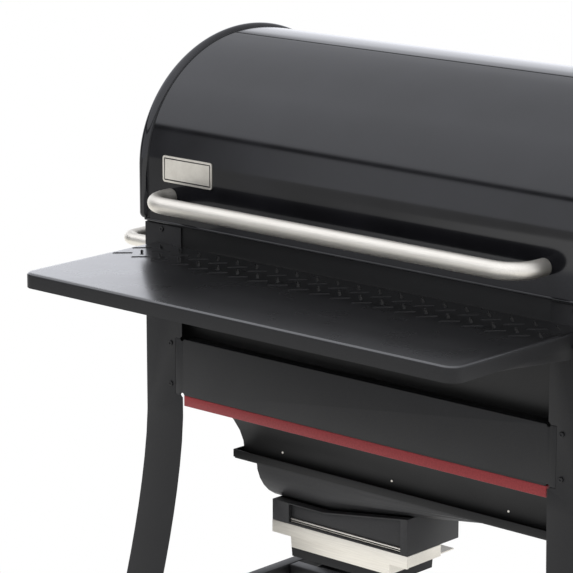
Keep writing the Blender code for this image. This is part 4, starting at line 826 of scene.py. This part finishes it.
low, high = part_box("control_knob")
centre = (low + high) / 2
bpy.ops.object.select_all(action="DESELECT")
bpy.ops.mesh.primitive_cylinder_add(vertices=KNOB_POINTS, radius=KNOB_RADIUS * MM,
                                    depth=(high.y - low.y))
knob = bpy.context.active_object
for corner in knob.data.vertices:
    flute = KNOB_FLUTE if corner.index // 2 % 4 < 2 else 1.0
    taper = KNOB_TAPER if corner.co.z > 0 else 1.0
    corner.co.x *= flute * taper
    corner.co.y *= flute * taper
pick(knob, lambda middle, normal: normal.z > FACING)
bpy.ops.mesh.inset(thickness=KNOB_RIM * MM)
push((0, 0, -KNOB_SINK * MM))
leave()
rounded(knob, KNOB_ROUND, angle=KNOB_ANGLE)
knob.data.transform(Matrix.Translation(centre) @ Matrix.Rotation(math.radians(90), 4, "X"))
keep(knob, "fluted_knob", "knob", "stainless", STEEL_PLAIN, "control_knob")

# %% [markdown]
# ## Screws
# Sheet metal is held by pan-head screws. One is modelled from a cylinder: its top is inset and
# drawn up into a dome, and a small recess for the driver is sunk in it. Copies are then set
# wherever a screw shows.

# %% One screw
HEAD_RADIUS, HEAD_HEIGHT, HEAD_POINTS, HEAD_ROUND, HEAD_ANGLE = 4.5, 2, 24, 0.3, 25
DOME_MARGIN, DOME_RISE, DRIVE_MARGIN, DRIVE_DEPTH = 1.2, 0.7, 1.4, 1.2

bpy.ops.object.select_all(action="DESELECT")
bpy.ops.mesh.primitive_cylinder_add(vertices=HEAD_POINTS, radius=HEAD_RADIUS * MM,
                                    depth=HEAD_HEIGHT * MM)
screw = bpy.context.active_object
screw.data.transform(Matrix.Translation((0, 0, HEAD_HEIGHT / 2 * MM)))
pick(screw, lambda middle, normal: normal.z > FACING)
bpy.ops.mesh.inset(thickness=DOME_MARGIN * MM)
bpy.ops.transform.translate(value=(0, 0, DOME_RISE * MM))
bpy.ops.mesh.inset(thickness=DRIVE_MARGIN * MM)
push((0, 0, -DRIVE_DEPTH * MM))
leave()
rounded(screw, HEAD_ROUND, angle=HEAD_ANGLE)
print("screw", len(screw.data.polygons), "faces")

# %% [markdown]
# The screws on the legs and apron, and the pivot screws of the shelf, are painted with them. Those
# along the flange under the cookbox are smaller and bright zinc.

# %% Setting the screws
SCREW_TURNS = {"front": Matrix.Rotation(math.radians(90), 4, "X"),
               "rear": Matrix.Rotation(math.radians(-90), 4, "X"),
               "left": Matrix.Rotation(math.radians(-90), 4, "Y"),
               "right": Matrix.Rotation(math.radians(90), 4, "Y")}
CART_REAR = 520
APRON_LOW, APRON_HIGH, APRON_FRONT_X, APRON_REAR_X = 596.8, 669.7, 423, 430
LEG_TOP_X, LEG_TOP_Z, LEG_SIDE_X, LEG_SIDE_Y, LEG_SIDE_Z = 442, 870, 482.5, (30, 490), 720
PIVOT_PROUD = 0.2
FLANGE_X, FLANGE_Z, FLANGE_FRONT, FLANGE_REAR = (-248, 0, 248), 484, 97, 423
FLANGE_SCREW_SCALE = 0.48


def screws(name, body, finish, spots):
    """One piece of screws at spots in the cart's frame, each with the way it faces."""
    made = [copied(screw, Matrix.Translation(at(*spot)) @ SCREW_TURNS[facing])
            for *spot, facing in spots]
    keep(joined(made), name, body, "stainless", finish)


leg_spots = []
for label, side in SIDES.items():
    leg_spots += [(side * APRON_FRONT_X, 0, z, "front") for z in (APRON_LOW, APRON_HIGH)]
    leg_spots += [(side * LEG_TOP_X, 0, LEG_TOP_Z, "front")]
    leg_spots += [(side * APRON_REAR_X, CART_REAR, z, "rear") for z in (APRON_HIGH, APRON_LOW)]
    leg_spots += [(side * LEG_SIDE_X, y, LEG_SIDE_Z, label) for y in LEG_SIDE_Y]
    leg_spots += [(side * (SHELF_HALF + PIVOT_PROUD), PIVOT_Y, PIVOT_Z, label)]
screws("painted_leg_screws", "cart", CHARCOAL, leg_spots)
flange_spots = [(x, FLANGE_FRONT, FLANGE_Z, "front") for x in FLANGE_X]
flange_spots += [(x, FLANGE_REAR, FLANGE_Z, "rear") for x in FLANGE_X]
screw.data.transform(Matrix.Scale(FLANGE_SCREW_SCALE, 4))
screws("bright_flange_screws", "cart", ZINC, flange_spots)
discard(screw)

# %% [markdown]
# ## The studio
# A pale floor, soft lamps and a white surround. Light Path tells the rays apart. The camera sees
# floor and surround white. Soft light from them falls on the surfaces at a plain level, so that the
# colours keep theirs. Reflections see the floor bright, and darker to the front left.

# %% Floor
FLOOR_SIZE, FLOOR_ROUGHNESS = 40, 0.9
WHITE = (1, 1, 1, 1)

bpy.ops.object.select_all(action="DESELECT")
bpy.ops.mesh.primitive_plane_add(size=FLOOR_SIZE)
floor = bpy.context.active_object
floor.name = "studio_floor"
FLOOR, tree, shader, place = finish_base("pale_studio_floor", FLOOR_ROUGHNESS)
shader.inputs["Base Color"].default_value = linear("#f2f2f2")
rays = add(tree, "LightPath")
seen = add(tree, "Math", {"operation": "MAXIMUM"})
tree.links.new(rays.outputs["Is Camera Ray"], seen.inputs[0])
tree.links.new(rays.outputs["Is Glossy Ray"], seen.inputs[1])
across = add(tree, "SeparateXYZ", Vector=place)
front_level = add(tree, "MapRange", Value=across.outputs["X"],
                  From_Min=-3.2, From_Max=-2.8, To_Min=0.5, To_Max=1.1)
mirrored_level = add(tree, "MapRange", Value=across.outputs["Y"],
                     From_Min=-1.0, From_Max=0.0, To_Min=front_level.outputs["Result"], To_Max=1.2)
level = add(tree, "MapRange", Value=rays.outputs["Is Camera Ray"],
            To_Min=mirrored_level.outputs["Result"], To_Max=1.0)
glow = add(tree, "Emission", Color=WHITE, Strength=level.outputs["Result"])
blend = add(tree, "MixShader", Fac=seen.outputs["Value"])
tree.links.new(shader.outputs["BSDF"], blend.inputs[1])
tree.links.new(glow.outputs["Emission"], blend.inputs[2])
tree.links.new(blend.outputs["Shader"], tree.nodes["Material Output"].inputs["Surface"])
floor.data.materials.append(FLOOR)
floor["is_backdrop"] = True
print(floor.name, FLOOR.name)

# %% [markdown]
# Reflections see a room of their own. In front there is a pale wall, dark at the far left, and
# between its top and a bright ceiling there is a thin dark gap. Behind the grill a bright low light
# fades into a dimmer wall. The gap draws the crisp dark line across the enamel of the lid, and the
# low light brightens the shelf. A direction's Z is its height, and its Y points to the back.

# %% Room for reflections
world = bpy.data.worlds.new("white_studio")
bpy.context.scene.world = world
world.use_nodes = True
tree = world.node_tree
way = add(tree, "SeparateXYZ", Vector=add(tree, "TexCoord").outputs["Generated"])
wall = add(tree, "MapRange", Value=way.outputs["X"],
           From_Min=-0.69, From_Max=-0.65, To_Min=0.15, To_Max=1.1)
front = add(tree, "MapRange", Value=way.outputs["Z"],
            From_Min=0.35, From_Max=0.37, To_Min=wall.outputs["Result"], To_Max=0.05)
upper = add(tree, "MapRange", Value=way.outputs["Y"],
            From_Min=-0.1, From_Max=0.6, To_Min=1.5, To_Max=0.72)
ceiling = add(tree, "MapRange", Value=way.outputs["Z"],
              From_Min=0.4, From_Max=0.43, To_Max=upper.outputs["Result"])
low_light = add(tree, "MapRange", Value=way.outputs["Z"],
                From_Min=0.25, From_Max=0.32, To_Min=1.55, To_Max=0.65)
behind = add(tree, "MapRange", Value=way.outputs["Y"],
             From_Min=-0.15, From_Max=0.1, To_Max=low_light.outputs["Result"])
room_light = ceiling.outputs["Result"]
for other in (front, behind):
    brighter = add(tree, "Math", {"operation": "MAXIMUM"})
    tree.links.new(room_light, brighter.inputs[0])
    tree.links.new(other.outputs["Result"], brighter.inputs[1])
    room_light = brighter.outputs["Value"]
room = add(tree, "Background", Color=linear("#f6f8ff"), Strength=room_light)
print(world.name)

# %% Surround
SOFT_LIGHT = 0.45

soft = tree.nodes["Background"]
soft.inputs["Color"].default_value = WHITE
soft.inputs["Strength"].default_value = SOFT_LIGHT
white = add(tree, "Background", Color=WHITE, Strength=1.0)
rays = add(tree, "LightPath")
mirrored = add(tree, "MixShader", Fac=rays.outputs["Is Glossy Ray"])
tree.links.new(soft.outputs["Background"], mirrored.inputs[1])
tree.links.new(room.outputs["Background"], mirrored.inputs[2])
clear = add(tree, "Math", {"operation": "MAXIMUM"})
tree.links.new(rays.outputs["Is Camera Ray"], clear.inputs[0])
tree.links.new(rays.outputs["Is Transmission Ray"], clear.inputs[1])
blend = add(tree, "MixShader", Fac=clear.outputs["Value"])
tree.links.new(mirrored.outputs["Shader"], blend.inputs[1])
tree.links.new(white.outputs["Background"], blend.inputs[2])
tree.links.new(blend.outputs["Shader"], tree.nodes["World Output"].inputs["Surface"])
print("soft light", SOFT_LIGHT)

# %% [markdown]
# Three soft boxes light the grill: a key from the front left, one overhead and a weak fill from the
# right. They don't show in reflections, where the room above takes their place.


# %% Lamps
def soft_lamp(name, spot, aim, size, power):
    """A square soft box at a spot, aimed at another, in metres and watts."""
    data = bpy.data.lights.new(name, "AREA")
    data.size = size
    data.energy = power
    lamp = bpy.data.objects.new(name, data)
    lamp.location = spot
    lamp.rotation_euler = (Vector(aim) - Vector(spot)).to_track_quat("-Z", "Y").to_euler()
    lamp.visible_glossy = False
    bpy.context.scene.collection.objects.link(lamp)
    print(name, power, "watts")


soft_lamp("key_soft_box", spot=(-1.6, -2.6, 3.4), aim=(-0.1, 0, 0.7), size=2.4, power=90)
soft_lamp("overhead_soft_box", spot=(0.3, 0.6, 3.2), aim=(-0.1, 0.1, 0.9), size=2.2, power=60)
soft_lamp("right_fill", spot=(3.2, -1.4, 1.6), aim=(0, 0, 0.7), size=2.0, power=30)

# %% [markdown]
# ## The camera
# The camera was found by fitting the photograph's straight edges: it stands nearly five metres off
# to the front right and looks down a little, with a long lens.

# %% Camera
CAMERA_PLACE = (2.86005, -3.64635, 1.9239)
CAMERA_DOWN, CAMERA_TURN = 13.496, 42.044
CAMERA_LENS, CAMERA_SENSOR, CAMERA_SHIFT = 180.07, 36, 0.0061

data = bpy.data.cameras.new("studio_camera")
data.lens = CAMERA_LENS
data.sensor_width = CAMERA_SENSOR
data.shift_y = CAMERA_SHIFT
camera = bpy.data.objects.new("studio_camera", data)
camera.location = CAMERA_PLACE
camera.rotation_euler = (math.radians(90 - CAMERA_DOWN), 0, math.radians(CAMERA_TURN))
bpy.context.scene.collection.objects.link(camera)
bpy.context.scene.camera = camera
bpy.context.scene.view_settings.view_transform = "Standard"
print(camera.name, CAMERA_LENS, "mm")

# %% Sizes
low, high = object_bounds()
